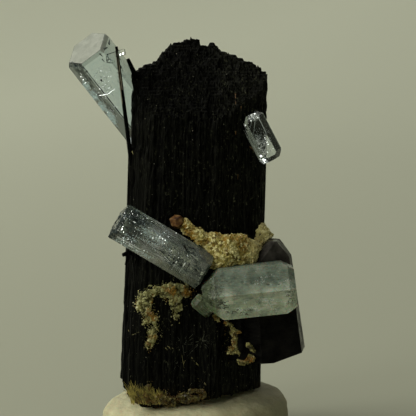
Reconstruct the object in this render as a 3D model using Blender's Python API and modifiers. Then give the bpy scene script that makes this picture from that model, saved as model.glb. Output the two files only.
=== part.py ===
"""Aquamarine specimen: pale blue beryl crystals on a striated column of black tourmaline.

The column stands in a lump of display putty. Two large aquamarines cross its front, one leans
out at the upper left behind a black needle, and a small one sits on the upper right edge. A smoky
quartz stands at the lower right, and yellow mica crusts and a small garnet lie between them.
Units are metres, +Z is up, the viewer's side is -Y, and the origin is on the putty's flat foot.
"""

import math
import random

import bmesh
import bpy
from mathutils import Euler, Matrix, Vector, noise
from mathutils.geometry import delaunay_2d_cdt

MM = 0.001
GAP = 0.2 * MM
VIEWER = Vector((0, -1, 0))

# Column of black tourmaline: its cross-section seen from above, front left first
COLUMN_SECTION = [
    (-6.3, -7.7), (3.2, -8.6), (9.4, -2.4), (8.2, 5.6), (-1.0, 8.8), (-8.4, 4.6), (-9.3, -2.6),
]
SECTION_ROUNDING = 0.7 * MM
COLUMN_SIDES = 108
LOWER_RINGS = 8
UPPER_RINGS = 4
COLUMN_MIDDLE_Z = 26 * MM
COLUMN_LEAN = 0.024
RIDGE_WIDTH = 1.5 * MM
RIDGE_DEPTH = 0.42 * MM
SWELL_WIDTH = 6.0 * MM
SWELL_DEPTH = 0.55 * MM
RIDGE_LENGTH = 60 * MM

# Below this height the left side stands further out
LEDGE_Z = 38.7 * MM
LEDGE_DEPTH = 0.42 * MM
LEDGE_HEIGHT = 0.6 * MM

# Termination: a face slopes down to the viewer from the crest, given as (x, z), and one falls back
CREST = (
    (-11, 48.4), (-8.4, 49.1), (-6.1, 50.0), (-5.0, 51.4), (-3.8, 52.7), (-1.8, 53.7), (0, 52.9),
    (1.6, 52.5), (3.7, 51.3), (6.8, 50.0), (9.1, 48.5), (11, 46.8),
)
CREST_Y = 4.9 * MM
FRONT_TOP_Z = 53.5 * MM
FRONT_SLOPE = 0.78
BACK_SLOPE = 0.5
STEP_WIDTH = 1.3 * MM
STEP_HEIGHT = 0.55 * MM
END_GRID = 0.85 * MM

# Broken lower end: its lowest point is at the front left
FOOT_LOW_X = -6.3 * MM
FOOT_LOW_Z = 4.6 * MM
FOOT_RISE_RIGHT = 0.15
FOOT_RISE_LEFT = 1.0

# Needle, spur and spike of the same tourmaline, fused to the column's left side
NEEDLE_FOOT = (-8.0, -3.4, 33.0)
NEEDLE_TIP = (-10.35, -5.0, 52.2)
NEEDLE_RADIUS = 0.36 * MM
NEEDLE_TIP_RADIUS = 0.2 * MM
SPUR_FOOT = (-6.6, -5.4, 25.6)
SPUR_TIP = (-9.95, -6.8, 24.9)
SPUR_RADIUS = 0.75 * MM
SPUR_TIP_RADIUS = 0.35 * MM
SPIKE_FOOT = (-7.4, -1.6, 47.0)
SPIKE_TIP = (-8.95, -2.0, 50.5)
SPIKE_RADIUS = 0.5 * MM
SPIKE_TIP_RADIUS = 0.25 * MM

# Angles of a hexagonal prism's faces round its axis, with -90 facing the viewer
FACE_TO_VIEWER = (-90, -30, 30, 90, 150, 210)
EDGE_TO_VIEWER = (-120, -60, 0, 60, 120, 180)

# Each aquamarine: the ends of its axis, its faces' distances from the axis, and the bevels at
# each end as (face angle, tilt from the axis's direction, width cut off the end face), all in mm
AQUAMARINES = {
    "aquamarine_upper_left": {
        "base": (-6.0, 3.25, 41.0), "tip": (-14.1, -4.1, 52.05), "angles": FACE_TO_VIEWER,
        "flats": (2.85, 2.6, 2.65, 2.8, 3.2, 3.2),
        "tip_bevels": ((-30, 60, 0.3), (150, 55, 0.5), (-90, 60, 0.25), (210, 62, 0.3)),
        "base_bevels": (),
    },
    "aquamarine_upper_right": {
        "base": (10.35, -6.1, 37.3), "tip": (7.25, -6.0, 43.25), "angles": FACE_TO_VIEWER,
        "flats": (1.42, 1.46, 1.46, 1.4, 1.46, 1.46),
        "tip_bevels": ((-90, 48, 0.7), (-30, 50, 0.55), (210, 50, 0.8), (30, 50, 0.5), (150, 50, 0.5)),
        "base_bevels": ((-90, 50, 0.5), (-30, 52, 0.7), (210, 55, 0.45), (30, 50, 0.5)),
    },
    "aquamarine_middle_left": {
        "base": (1.35, -10.0, 22.85), "tip": (-9.95, -11.3, 29.75), "angles": FACE_TO_VIEWER,
        "flats": (2.2, 2.2, 2.2, 2.15, 2.2, 2.25),
        "tip_bevels": ((-90, 55, 0.3), (30, 60, 0.25)),
        "base_bevels": ((-90, 50, 0.3),),
    },
    "aquamarine_lower_right": {
        "base": (1.05, -11.5, 19.9), "tip": (13.1, -11.2, 21.15), "angles": EDGE_TO_VIEWER,
        "flats": (3.3, 3.3, 3.3, 3.3, 3.3, 3.3),
        "tip_bevels": ((-120, 58, 0.5), (-60, 55, 0.55), (0, 60, 0.8), (180, 58, 0.9), (60, 55, 0.6)),
        "base_bevels": ((-120, 48, 1.5), (-60, 50, 1.3), (0, 48, 2.2), (180, 50, 2.0), (120, 50, 1.5)),
    },
    "aquamarine_small": {
        "base": (2.1, -9.6, 17.5), "tip": (0.1, -10.2, 19.2), "angles": FACE_TO_VIEWER,
        "flats": (0.85, 0.9, 0.95, 0.85, 0.9, 0.9),
        "tip_bevels": ((-90, 50, 0.3), (-30, 50, 0.35), (210, 50, 0.3)),
        "base_bevels": (),
    },
}

# Smoky quartz: (face angle, distance at the foot, inward lean in degrees), in mm
QUARTZ_FOOT = (9.5, -5.2, 10.7)
QUARTZ_HEIGHT = 15.9 * MM
QUARTZ_SIDES = (
    (-8, 5.2, 8), (52, 4.45, 8), (112, 4.6, 5), (172, 4.9, -2), (232, 4.55, 3), (291, 4.65, 6),
)
# and the tip's facets: (face angle, slope from upright, height on the axis)
QUARTZ_TIP = (
    (-8, 20, 23.4), (-8, 38, 18.0), (52, 40, 18.3), (112, 42, 17.8), (180, 45, 15.5), (232, 40, 17.6),
    (291, 30, 20.6),
)
QUARTZ_FOOT_CHAMFER = (0, 17, 0.9)

# Garnet: the 12 faces of a rhombic dodecahedron
GARNET_CENTRE = (-2.3, -9.1, 29.35)
GARNET_RADIUS = 0.8 * MM
GARNET_TURN = (35, 20, 15)

# Thick mica crust above the crossing crystals: rows of lumps as points and lump radius, in mm
UPPER_CRUST = (
    (((-1.3, -8.9, 28.8), (0.4, -9.3, 27.6), (2.0, -9.4, 26.6)), 0.75),
    (((2.2, -9.4, 26.2), (4.2, -9.5, 26.2), (6.2, -8.2, 25.8), (7.8, -6.8, 25.3)), 1.25),
    (((2.0, -9.6, 24.8), (4.5, -9.6, 24.7), (7.0, -8.2, 24.3)), 1.4),
    (((8.9, -3.7, 28.0), (9.0, -3.8, 27.0), (8.8, -4.5, 25.8), (8.2, -5.4, 24.6)), 0.9),
)
# Thin crusts on the column's front, as points (x, z), which lie on its surface
LEFT_CRUST = (
    (((-6.8, 17.4), (-6.2, 19.2), (-4.7, 20.2), (-2.8, 20.3), (-1.0, 20.0)), 0.8),
    (((-2.6, 19.8), (-2.4, 18.2), (-2.7, 16.8)), 0.75),
    (((-6.2, 17.6), (-5.6, 16.2), (-5.3, 14.5), (-6.0, 13.1)), 0.6),
    (((-7.4, 15.1), (-6.3, 15.8), (-5.6, 16.2)), 0.5),
)
BASE_FRINGE = (
    (((-7.6, 5.9), (-5.8, 5.7), (-3.8, 5.6), (-1.6, 5.8), (1.2, 6.2)), 0.8),
    (((-6.9, 6.4), (-5.9, 7.4)), 0.6),
)
# Crust below the lower aquamarine, where the quartz leaves the column
RIGHT_CRUST = (
    (((3.3, -8.6, 16.6), (4.2, -8.6, 15.4), (4.8, -9.0, 14.2), (5.0, -9.3, 12.9)), 0.7),
    (((5.0, -9.3, 12.9), (5.0, -9.3, 11.9), (6.0, -9.7, 11.3), (7.2, -10.0, 11.4)), 0.7),
    (((7.2, -10.0, 11.4), (7.9, -10.1, 12.1), (7.2, -10.1, 12.9)), 0.5),
    (((4.8, -9.1, 14.4), (6.3, -9.7, 15.0)), 0.5),
)
LUMP_SPACING = 0.75
LUMP_UNEVENNESS = 0.3

# Putty: a pressed lump, higher at the right where it backs the column
PUTTY_HALF_WIDTH = 12.7 * MM
PUTTY_HALF_DEPTH = 10.6 * MM
PUTTY_MIDDLE = (0.15, 0.4)
PUTTY_WAIST_Z = 1.9 * MM
PUTTY_TOP_LEFT = 5.0 * MM
PUTTY_TOP_RIGHT = 6.9 * MM
PUTTY_RISE_BACK = 0.09
PUTTY_SQUARENESS = 0.62
PUTTY_SEGMENTS = 32


def mm(point):
    """A point written in millimetres, as a vector in metres."""
    return Vector(point) * MM


def clear_scene():
    for obj in list(bpy.data.objects):
        bpy.data.objects.remove(obj)


def new_collection(name):
    collection = bpy.data.collections.new(name)
    bpy.context.scene.collection.children.link(collection)
    return collection


def new_material(name, colour, roughness, transmission=0.0):
    material = bpy.data.materials.new(name)
    material.use_nodes = True
    shader = material.node_tree.nodes["Principled BSDF"]
    shader.inputs["Base Color"].default_value = (*colour, 1)
    shader.inputs["Roughness"].default_value = roughness
    shader.inputs["Metallic"].default_value = 0
    shader.inputs["Transmission Weight"].default_value = transmission
    return material


def new_object(name, mesh_maker, material, collection, matrix=None):
    """An object from a bmesh, which is freed."""
    bmesh.ops.recalc_face_normals(mesh_maker, faces=mesh_maker.faces)
    mesh = bpy.data.meshes.new(name)
    mesh_maker.to_mesh(mesh)
    mesh_maker.free()
    mesh.materials.append(material)
    obj = bpy.data.objects.new(name, mesh)
    collection.objects.link(obj)
    if matrix is not None:
        obj.matrix_world = matrix
    return obj


def as_cutter(obj):
    obj.hide_render = True
    obj.display_type = "WIRE"
    return obj


def cut_by(obj, cutters):
    """Takes the cutters' shapes away from the object."""
    for cutter in cutters:
        modifier = obj.modifiers.new("cut by " + cutter.name, "BOOLEAN")
        modifier.operation = "DIFFERENCE"
        modifier.object = cutter


def joined_to(obj, others):
    for other in others:
        modifier = obj.modifiers.new("joined to " + other.name, "BOOLEAN")
        modifier.operation = "UNION"
        modifier.object = other


def islands(mesh_maker):
    """The mesh's separate shells, as lists of faces, largest first."""
    left = set(mesh_maker.faces)
    found = []
    while left:
        stack = [left.pop()]
        shell = list(stack)
        while stack:
            for edge in stack.pop().edges:
                for face in edge.link_faces:
                    if face in left:
                        left.remove(face)
                        stack.append(face)
                        shell.append(face)
        found.append(shell)
    return sorted(found, key=lambda shell: -sum(face.calc_area() for face in shell))


def keep_largest(obj):
    """Applies the object's modifiers and drops the crumbs that its cutters left beside it."""
    graph = bpy.context.evaluated_depsgraph_get()
    mesh = bpy.data.meshes.new_from_object(obj.evaluated_get(graph))
    obj.modifiers.clear()
    obj.data = mesh
    mesh_maker = bmesh.new()
    mesh_maker.from_mesh(mesh)
    for shell in islands(mesh_maker)[1:]:
        bmesh.ops.delete(mesh_maker, geom=shell, context="FACES")
    mesh_maker.to_mesh(mesh)
    mesh_maker.free()


# Column

def section_corners():
    return [Vector(corner) * MM for corner in COLUMN_SECTION]


def section_length():
    corners = section_corners()
    return sum((b - a).length for a, b in zip(corners, corners[1:] + corners[:1]))


def polygon_point(distance):
    """The point that lies this far along the cross-section's straight sides."""
    corners = section_corners()
    distance %= section_length()
    for a, b in zip(corners, corners[1:] + corners[:1]):
        side = (b - a).length
        if distance <= side:
            return a.lerp(b, distance / side)
        distance -= side
    return corners[0]


def section_point(distance):
    """The same point with the cross-section's corners rounded, and its outward direction."""
    around = [polygon_point(distance + SECTION_ROUNDING * k / 2) for k in range(-2, 3)]
    point = sum(around, Vector((0, 0))) / len(around)
    along = (around[-1] - around[0]).normalized()
    return point, Vector((along.y, -along.x))


def ridges(point, z):
    """How far the striated side stands out: broad swells and narrow ridges along the column."""
    place = Vector((point.x, point.y, 0))
    along = Vector((0, 0, z / RIDGE_LENGTH))
    swell = noise.noise(place / SWELL_WIDTH + along + Vector((0, 0, 7.3)))
    ridge = noise.noise(place / RIDGE_WIDTH + along * 2 + Vector((0, 0, 1.7)))
    return SWELL_DEPTH * swell + RIDGE_DEPTH * ridge


def end_steps(point, seed):
    """The blocky relief of a termination."""
    place = Vector((point.x, point.y, 0)) / STEP_WIDTH + Vector((0, 0, seed))
    return STEP_HEIGHT * (0.7 * noise.cell(place) - 0.35 + 0.8 * noise.noise(place * 0.8))


def crest_height(x):
    for (x0, z0), (x1, z1) in zip(CREST, CREST[1:]):
        if x <= x1 * MM:
            return (z0 + (z1 - z0) * (x / MM - x0) / (x1 - x0)) * MM
    return CREST[-1][1] * MM


def top_height(point):
    dy = point.y - CREST_Y
    front = FRONT_TOP_Z + FRONT_SLOPE * dy
    back = crest_height(point.x) - BACK_SLOPE * max(dy, 0)
    return min(front, back) + end_steps(point, 2.5)


def foot_height(point):
    dx = point.x - FOOT_LOW_X
    rise = FOOT_RISE_RIGHT * dx if dx > 0 else -FOOT_RISE_LEFT * dx
    return FOOT_LOW_Z + rise + 0.6 * end_steps(point, 9.5)


def left_ledge(point, z):
    """How much further the left side stands out below the ledge."""
    share = min(1, max(0, (-6 * MM - point.x) / (2 * MM)))
    return LEDGE_DEPTH * share if z < LEDGE_Z else 0


def ring_heights(low, high):
    """Heights of the column's rings, which leave a short slope at the ledge."""
    below = LEDGE_Z - LEDGE_HEIGHT / 2
    above = LEDGE_Z + LEDGE_HEIGHT / 2
    lower = [low + (below - low) * k / (LOWER_RINGS - 1) for k in range(LOWER_RINGS)]
    upper = [above + (high - above) * k / (UPPER_RINGS - 1) for k in range(UPPER_RINGS)]
    return lower + upper


def leaned(point, z):
    """A point of the leaning column: the axis drifts right with height."""
    return Vector((point.x + COLUMN_LEAN * (z - COLUMN_MIDDLE_Z), point.y, z))


def end_cap(mesh_maker, rim, plan, height, upwards):
    """Closes one end with a rough field of triangles inside the rim, whose plan is flat."""
    count = len(plan)
    low = Vector((min(p.x for p in plan), min(p.y for p in plan)))
    high = Vector((max(p.x for p in plan), max(p.y for p in plan)))
    columns, rows = (int((high[k] - low[k]) / END_GRID) + 1 for k in (0, 1))
    inner = []
    for i in range(columns):
        for j in range(rows):
            shift = Vector((0.5 * (j % 2), 0)) + 0.28 * noise.random_unit_vector().to_2d()
            spot = low + Vector((i + shift.x, j + shift.y)) * END_GRID
            if all((spot - p).length > 0.62 * END_GRID for p in plan):
                inner.append(spot)
    loop = [(k, (k + 1) % count) for k in range(count)]
    coords, _, faces, origins, _, _ = delaunay_2d_cdt(plan + inner, loop, [], 1, 1e-7)
    corners = []
    for coord, origin in zip(coords, origins):
        if origin and origin[0] < count:
            corners.append(rim[origin[0]])
        else:
            corners.append(mesh_maker.verts.new(leaned(coord, height(coord))))
    for face in faces:
        order = face if upwards else face[::-1]
        mesh_maker.faces.new([corners[k] for k in order])


def column_mesh(grow):
    """The striated column with its sloping termination, larger by grow all round."""
    noise.seed_set(4)
    mesh_maker = bmesh.new()
    sides = []
    plans = []
    for k in range(COLUMN_SIDES):
        point, outward = section_point(section_length() * k / COLUMN_SIDES)
        low = foot_height(point) - grow
        high = top_height(point) + grow
        line = []
        plan = []
        for z in ring_heights(low, high):
            bare = point + outward * (ridges(point, z) + left_ledge(point, z))
            plan.append(bare)
            line.append(mesh_maker.verts.new(leaned(bare + outward * grow, z)))
        sides.append(line)
        plans.append(plan)
    for line, following in zip(sides, sides[1:] + sides[:1]):
        for k in range(len(line) - 1):
            mesh_maker.faces.new((line[k], following[k], following[k + 1], line[k + 1]))
    feet = [plan[0] for plan in plans]
    tops = [plan[-1] for plan in plans]
    end_cap(mesh_maker, [line[-1] for line in sides], tops, lambda p: top_height(p) + grow, True)
    end_cap(mesh_maker, [line[0] for line in sides], feet, lambda p: foot_height(p) - grow, False)
    return mesh_maker


def tapered_prism(name, foot, tip, radius, tip_radius, grow, material, collection):
    """A six-sided needle from foot to tip."""
    mesh_maker = bmesh.new()
    axis = mm(tip) - mm(foot)
    bmesh.ops.create_cone(
        mesh_maker, cap_ends=True, segments=6, radius1=radius + grow, radius2=tip_radius + grow,
        depth=axis.length + 2 * grow,
    )
    turn = axis.to_track_quat("Z", "Y").to_matrix().to_4x4()
    matrix = Matrix.Translation((mm(foot) + mm(tip)) / 2) @ turn
    return new_object(name, mesh_maker, material, collection, matrix)


def make_column(name, grow, material, collection, helpers):
    column = new_object(name, column_mesh(grow), material, collection)
    spikes = [
        tapered_prism(name + "_needle", NEEDLE_FOOT, NEEDLE_TIP, NEEDLE_RADIUS, NEEDLE_TIP_RADIUS,
                      grow, material, helpers),
        tapered_prism(name + "_spur", SPUR_FOOT, SPUR_TIP, SPUR_RADIUS, SPUR_TIP_RADIUS,
                      grow, material, helpers),
        tapered_prism(name + "_spike", SPIKE_FOOT, SPIKE_TIP, SPIKE_RADIUS, SPIKE_TIP_RADIUS,
                      grow, material, helpers),
    ]
    joined_to(column, [as_cutter(spike) for spike in spikes])
    return column


def surface_point(x, z):
    """The point of the column's front at this x and height."""
    corners = section_corners()
    shifted = x - COLUMN_LEAN * (z - COLUMN_MIDDLE_Z)
    found = []
    for a, b in zip(corners, corners[1:] + corners[:1]):
        if min(a.x, b.x) <= shifted <= max(a.x, b.x) and a.x != b.x:
            found.append(a.lerp(b, (shifted - a.x) / (b.x - a.x)).y)
    return Vector((x, min(found), z))


# Crystals with flat faces

def cut_solid(reach, planes):
    """A convex crystal: a block cut by each plane, given as a point on it and its outward normal."""
    mesh_maker = bmesh.new()
    bmesh.ops.create_cube(mesh_maker, size=2 * reach)
    for point, normal in planes:
        everything = mesh_maker.verts[:] + mesh_maker.edges[:] + mesh_maker.faces[:]
        bmesh.ops.bisect_plane(
            mesh_maker, geom=everything, dist=1e-7, plane_co=point, plane_no=normal, clear_outer=True
        )
        rim = [edge for edge in mesh_maker.edges if edge.is_boundary]
        if rim:
            bmesh.ops.holes_fill(mesh_maker, edges=rim, sides=0)
    bmesh.ops.remove_doubles(mesh_maker, verts=mesh_maker.verts, dist=1e-6)
    return mesh_maker


def face_normal(angle, tilt):
    """A direction at this angle round the axis, leaning from the axis by tilt; 90 is level."""
    a, t = math.radians(angle), math.radians(tilt)
    return Vector((math.cos(a) * math.sin(t), math.sin(a) * math.sin(t), math.cos(t)))


def crystal_frame(base, tip):
    """The matrix that stands a crystal on its base, along its axis, with local -Y to the viewer."""
    up = (mm(tip) - mm(base)).normalized()
    back = -(VIEWER - VIEWER.dot(up) * up).normalized()
    matrix = Matrix((back.cross(up), back, up)).transposed().to_4x4()
    return Matrix.Translation(mm(base)) @ matrix


def bevel_planes(spec, key, end_z, upwards, grow):
    flats = dict(zip(spec["angles"], spec["flats"]))
    for angle, tilt, width in spec[key]:
        normal = face_normal(angle, tilt)
        inset = face_normal(angle, 90) * (flats[angle] - width) * MM
        if not upwards:
            normal.z = -normal.z
        yield Vector((inset.x, inset.y, end_z)) + normal * grow, normal


def beryl_mesh(spec, grow):
    """A hexagonal beryl prism with flat ends and the bevels of its end faces."""
    length = (mm(spec["tip"]) - mm(spec["base"])).length
    planes = [
        (Vector((0, 0, length + grow)), Vector((0, 0, 1))),
        (Vector((0, 0, -grow)), Vector((0, 0, -1))),
    ]
    for angle, flat in zip(spec["angles"], spec["flats"]):
        normal = face_normal(angle, 90)
        planes.append((normal * (flat * MM + grow), normal))
    planes.extend(bevel_planes(spec, "tip_bevels", length, True, grow))
    planes.extend(bevel_planes(spec, "base_bevels", 0, False, grow))
    return cut_solid(1.5 * length, planes)


def quartz_mesh(grow):
    """A steep smoky quartz with a facetted tip and a broken, slanting foot."""
    planes = [(Vector((0, 0, -grow)), Vector((0, 0, -1)))]
    planes.append((Vector((0, 0, QUARTZ_HEIGHT + grow)), Vector((0, 0, 1))))
    for angle, distance, lean in QUARTZ_SIDES:
        normal = face_normal(angle, 90 - lean)
        planes.append((face_normal(angle, 90) * distance * MM + normal * grow, normal))
    for angle, slope, height in QUARTZ_TIP:
        normal = face_normal(angle, 90 - slope)
        planes.append((Vector((0, 0, height * MM)) + normal * grow, normal))
    angle, slope, edge = QUARTZ_FOOT_CHAMFER
    normal = face_normal(angle, 180 - slope)
    planes.append((face_normal(angle, 90) * edge * MM + normal * grow, normal))
    return cut_solid(2 * QUARTZ_HEIGHT, planes)


def garnet_mesh(grow):
    planes = []
    for k in range(4):
        planes.append(face_normal(90 * k + 45, 90))
        planes.append(face_normal(90 * k, 45))
        planes.append(face_normal(90 * k, 135))
    return cut_solid(3 * GARNET_RADIUS, [(n * (GARNET_RADIUS + grow), n) for n in planes])


# Mica crusts

def lumps(branches, seed):
    """Centre and radius of each lump along a crust's branches."""
    chance = random.Random(seed)
    for points, radius in branches:
        for a, b in zip(points, points[1:]):
            start, end = mm(a), mm(b)
            steps = max(1, round((end - start).length / (radius * MM * LUMP_SPACING)))
            for k in range(steps + 1):
                wander = Vector([chance.uniform(-1, 1) for _ in range(3)])
                size = radius * MM * (1 + LUMP_UNEVENNESS * chance.uniform(-1, 1))
                yield start.lerp(end, k / steps) + wander * radius * MM * LUMP_UNEVENNESS, size


def on_surface(branches):
    """Branches given as (x, z), laid on the column's front as points in millimetres."""
    return tuple(
        (tuple(tuple(surface_point(x * MM, z * MM) / MM) for x, z in points), radius)
        for points, radius in branches
    )


def make_crust(name, branches, seed, voxel, share, grow, material, collection):
    """Lumps melted into one knobbly body."""
    mesh_maker = bmesh.new()
    for centre, radius in lumps(branches, seed):
        bmesh.ops.create_icosphere(
            mesh_maker, subdivisions=2, radius=radius + grow, matrix=Matrix.Translation(centre)
        )
    crust = new_object(name, mesh_maker, material, collection)
    remesh = crust.modifiers.new("one body", "REMESH")
    remesh.mode = "VOXEL"
    remesh.voxel_size = voxel
    decimate = crust.modifiers.new("fewer faces", "DECIMATE")
    decimate.ratio = share
    return crust


# Putty

def putty_mesh():
    """A rounded lump with a flat foot and a top that climbs to the right."""
    mesh_maker = bmesh.new()
    bmesh.ops.create_uvsphere(mesh_maker, u_segments=PUTTY_SEGMENTS, v_segments=16, radius=1)
    for vertex in mesh_maker.verts:
        x, y, z = vertex.co
        around = max(math.hypot(x, y), 1e-9)
        wide = min(1, around) ** PUTTY_SQUARENESS
        wobble = 1 + 0.035 * noise.noise(Vector((2.2 * x / around, 2.2 * y / around, 5)))
        vertex.co.x = PUTTY_MIDDLE[0] * MM + PUTTY_HALF_WIDTH * wobble * wide * x / around
        vertex.co.y = PUTTY_MIDDLE[1] * MM + PUTTY_HALF_DEPTH * wobble * wide * y / around
        share = (1 + vertex.co.x / PUTTY_HALF_WIDTH) / 2
        top = PUTTY_TOP_LEFT + (PUTTY_TOP_RIGHT - PUTTY_TOP_LEFT) * share
        top += PUTTY_RISE_BACK * vertex.co.y
        reach = top - PUTTY_WAIST_Z if z > 0 else 2 * PUTTY_WAIST_Z
        level = math.copysign(abs(z) ** PUTTY_SQUARENESS, z)
        vertex.co.z = PUTTY_WAIST_Z + reach * level
    everything = mesh_maker.verts[:] + mesh_maker.edges[:] + mesh_maker.faces[:]
    bmesh.ops.bisect_plane(
        mesh_maker, geom=everything, plane_co=(0, 0, 0), plane_no=(0, 0, -1), clear_outer=True
    )
    bmesh.ops.holes_fill(mesh_maker, edges=[e for e in mesh_maker.edges if e.is_boundary], sides=0)
    return mesh_maker


def main():
    clear_scene()
    specimen = new_collection("aquamarine_specimen")
    helpers = new_collection("cutters")

    black = new_material("tourmaline", (0.012, 0.012, 0.011), 0.4)
    blue = new_material("aquamarine", (0.66, 0.80, 0.83), 0.08, 1.0)
    smoky = new_material("smoky_quartz", (0.05, 0.04, 0.042), 0.15, 0.6)
    yellow = new_material("mica", (0.52, 0.46, 0.27), 0.5)
    red = new_material("garnet", (0.35, 0.10, 0.05), 0.25)
    grey = new_material("putty", (0.62, 0.59, 0.52), 0.75)

    make_column("tourmaline_column", 0, black, specimen, helpers)
    around_column = as_cutter(make_column("round_column", GAP, black, helpers, helpers))

    grown = {}
    for name, spec in AQUAMARINES.items():
        matrix = crystal_frame(spec["base"], spec["tip"])
        crystal = new_object(name, beryl_mesh(spec, 0), blue, specimen, matrix)
        grown[name] = as_cutter(new_object("round_" + name, beryl_mesh(spec, GAP), blue, helpers, matrix))
        cut_by(crystal, [around_column])
        if name == "aquamarine_small":
            cut_by(crystal, [grown["aquamarine_lower_right"], grown["aquamarine_middle_left"]])
        keep_largest(crystal)

    place = Matrix.Translation(mm(QUARTZ_FOOT))
    quartz = new_object("smoky_quartz", quartz_mesh(0), smoky, specimen, place)
    grown["quartz"] = as_cutter(new_object("round_quartz", quartz_mesh(GAP), smoky, helpers, place))
    cut_by(quartz, [around_column, grown["aquamarine_lower_right"]])
    keep_largest(quartz)

    turn = Euler([math.radians(angle) for angle in GARNET_TURN]).to_matrix().to_4x4()
    place = Matrix.Translation(mm(GARNET_CENTRE)) @ turn
    garnet = new_object("garnet", garnet_mesh(0), red, specimen, place)
    grown["garnet"] = as_cutter(new_object("round_garnet", garnet_mesh(GAP), red, helpers, place))
    cut_by(garnet, [around_column, grown["aquamarine_middle_left"]])
    keep_largest(garnet)

    crusts = {
        "mica_crust_upper": (UPPER_CRUST, 11, 0.35 * MM, 0.32),
        "mica_crust_left": (on_surface(LEFT_CRUST), 12, 0.22 * MM, 0.22),
        "mica_crust_right": (RIGHT_CRUST, 13, 0.22 * MM, 0.17),
        "mica_fringe_base": (on_surface(BASE_FRINGE), 14, 0.22 * MM, 0.17),
    }
    for name, (branches, seed, voxel, share) in crusts.items():
        crust = make_crust(name, branches, seed, voxel, share, 0, yellow, specimen)
        cut_by(crust, [around_column, *grown.values()])
        keep_largest(crust)

    branches, seed, voxel, share = crusts["mica_fringe_base"]
    around_fringe = make_crust("round_fringe", branches, seed, voxel, share, GAP, yellow, helpers)
    putty = new_object("display_putty", putty_mesh(), grey, specimen)
    cut_by(putty, [around_column, as_cutter(around_fringe)])
    keep_largest(putty)


main()
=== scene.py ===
"""Looks of the aquamarine specimen: clear and milky beryl on striated black tourmaline, with smoky
quartz, mica crusts and a garnet, in display putty.

Sizes are in metres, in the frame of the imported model: +Z is up and the viewer's side is -Y.
"""

import math
import random

import bmesh
import bpy
from mathutils import Euler, Matrix, Vector, noise
from mathutils.bvhtree import BVHTree
from mathutils.geometry import delaunay_2d_cdt


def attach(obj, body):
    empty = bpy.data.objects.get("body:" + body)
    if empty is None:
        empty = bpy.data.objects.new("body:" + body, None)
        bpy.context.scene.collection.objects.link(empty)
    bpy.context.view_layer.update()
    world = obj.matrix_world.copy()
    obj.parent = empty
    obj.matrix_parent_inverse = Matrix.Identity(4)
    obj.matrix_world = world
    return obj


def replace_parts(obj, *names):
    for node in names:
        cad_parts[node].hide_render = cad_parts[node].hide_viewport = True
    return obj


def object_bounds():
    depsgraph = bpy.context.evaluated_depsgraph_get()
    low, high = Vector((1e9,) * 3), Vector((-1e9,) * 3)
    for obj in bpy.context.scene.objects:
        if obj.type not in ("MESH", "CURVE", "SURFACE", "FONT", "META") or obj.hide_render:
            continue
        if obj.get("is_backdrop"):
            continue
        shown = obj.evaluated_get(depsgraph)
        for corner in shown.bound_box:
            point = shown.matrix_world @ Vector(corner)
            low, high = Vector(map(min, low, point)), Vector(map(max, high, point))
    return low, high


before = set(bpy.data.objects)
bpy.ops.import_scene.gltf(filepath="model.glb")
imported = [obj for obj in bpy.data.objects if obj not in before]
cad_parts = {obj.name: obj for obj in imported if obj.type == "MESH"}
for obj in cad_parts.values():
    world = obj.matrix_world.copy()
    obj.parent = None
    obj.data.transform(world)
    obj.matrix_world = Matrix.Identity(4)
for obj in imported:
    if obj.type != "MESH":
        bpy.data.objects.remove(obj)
CAD_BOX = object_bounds()

MM = 0.001
VIEWER = Vector((0, -1, 0))
AWAY = Vector((0, 1, 0))
UP = Vector((0, 0, 1))

# Camera: a long lens, slightly above the specimen
CAMERA_TARGET = (1.755, 0, 30.356)
CAMERA_DISTANCE = 320 * MM
CAMERA_ELEVATION = 5
PHOTO_WIDTH_AT_TARGET = 56.16 * MM
SENSOR_WIDTH = 36

# Studio
FLOOR_FLAT_RADIUS = 0.7
FLOOR_RADIUS = 2.6
FLOOR_RISE = 1.1
FLOOR_RINGS = 48
FLOOR_SIDES = 96
FLOOR_PAINTED_LIGHT_SIDE = (-0.64, 0.4, 0)
ROOM_BRIGHT_SIDE = (-0.78, 0.24, 0.58)
ROOM_STRENGTH = 1.08
LIGHT_TINT = (1.0, 0.985, 0.88)
KEY_PLACE = (-1.15, -0.25, 0.70)
KEY_SIZE = (0.8, 0.9)
KEY_POWER = 6.5
FILL_PLACE = (-0.70, -1.05, 0.50)
FILL_SIZE = (0.35, 0.35)
FILL_POWER = 2.0

# Column, as in the part's source
COLUMN_SECTION = [
    (-6.3, -7.7), (3.2, -8.6), (9.4, -2.4), (8.2, 5.6), (-1.0, 8.8), (-8.4, 4.6), (-9.3, -2.6),
]
SECTION_ROUNDING = 0.7 * MM
COLUMN_MIDDLE_Z = 26 * MM
COLUMN_LEAN = 0.024
RIDGE_WIDTH = 1.5 * MM
RIDGE_DEPTH = 0.42 * MM
SWELL_WIDTH = 6.0 * MM
SWELL_DEPTH = 0.55 * MM
RIDGE_LENGTH = 60 * MM
LEDGE_FROM_X = -6 * MM
LEDGE_FULL_X = -8 * MM
LEDGE_Z = 38.7 * MM
LEDGE_DEPTH = 0.42 * MM
LEDGE_HEIGHT = 0.6 * MM
CREST = (
    (-11, 48.4), (-8.4, 49.1), (-6.1, 50.0), (-5.0, 51.4), (-3.8, 52.7), (-1.8, 53.7), (0, 52.9),
    (1.6, 52.5), (3.7, 51.3), (6.8, 50.0), (9.1, 48.5), (11, 46.8),
)
CREST_Y = 4.9 * MM
FRONT_TOP_Z = 53.5 * MM
FRONT_SLOPE = 0.78
BACK_SLOPE = 0.5
STEP_WIDTH = 1.3 * MM
STEP_HEIGHT = 0.55 * MM
FOOT_LOW_X = -6.3 * MM
FOOT_LOW_Z = 4.6 * MM
FOOT_RISE_RIGHT = 0.15
FOOT_RISE_LEFT = 1.0

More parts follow.
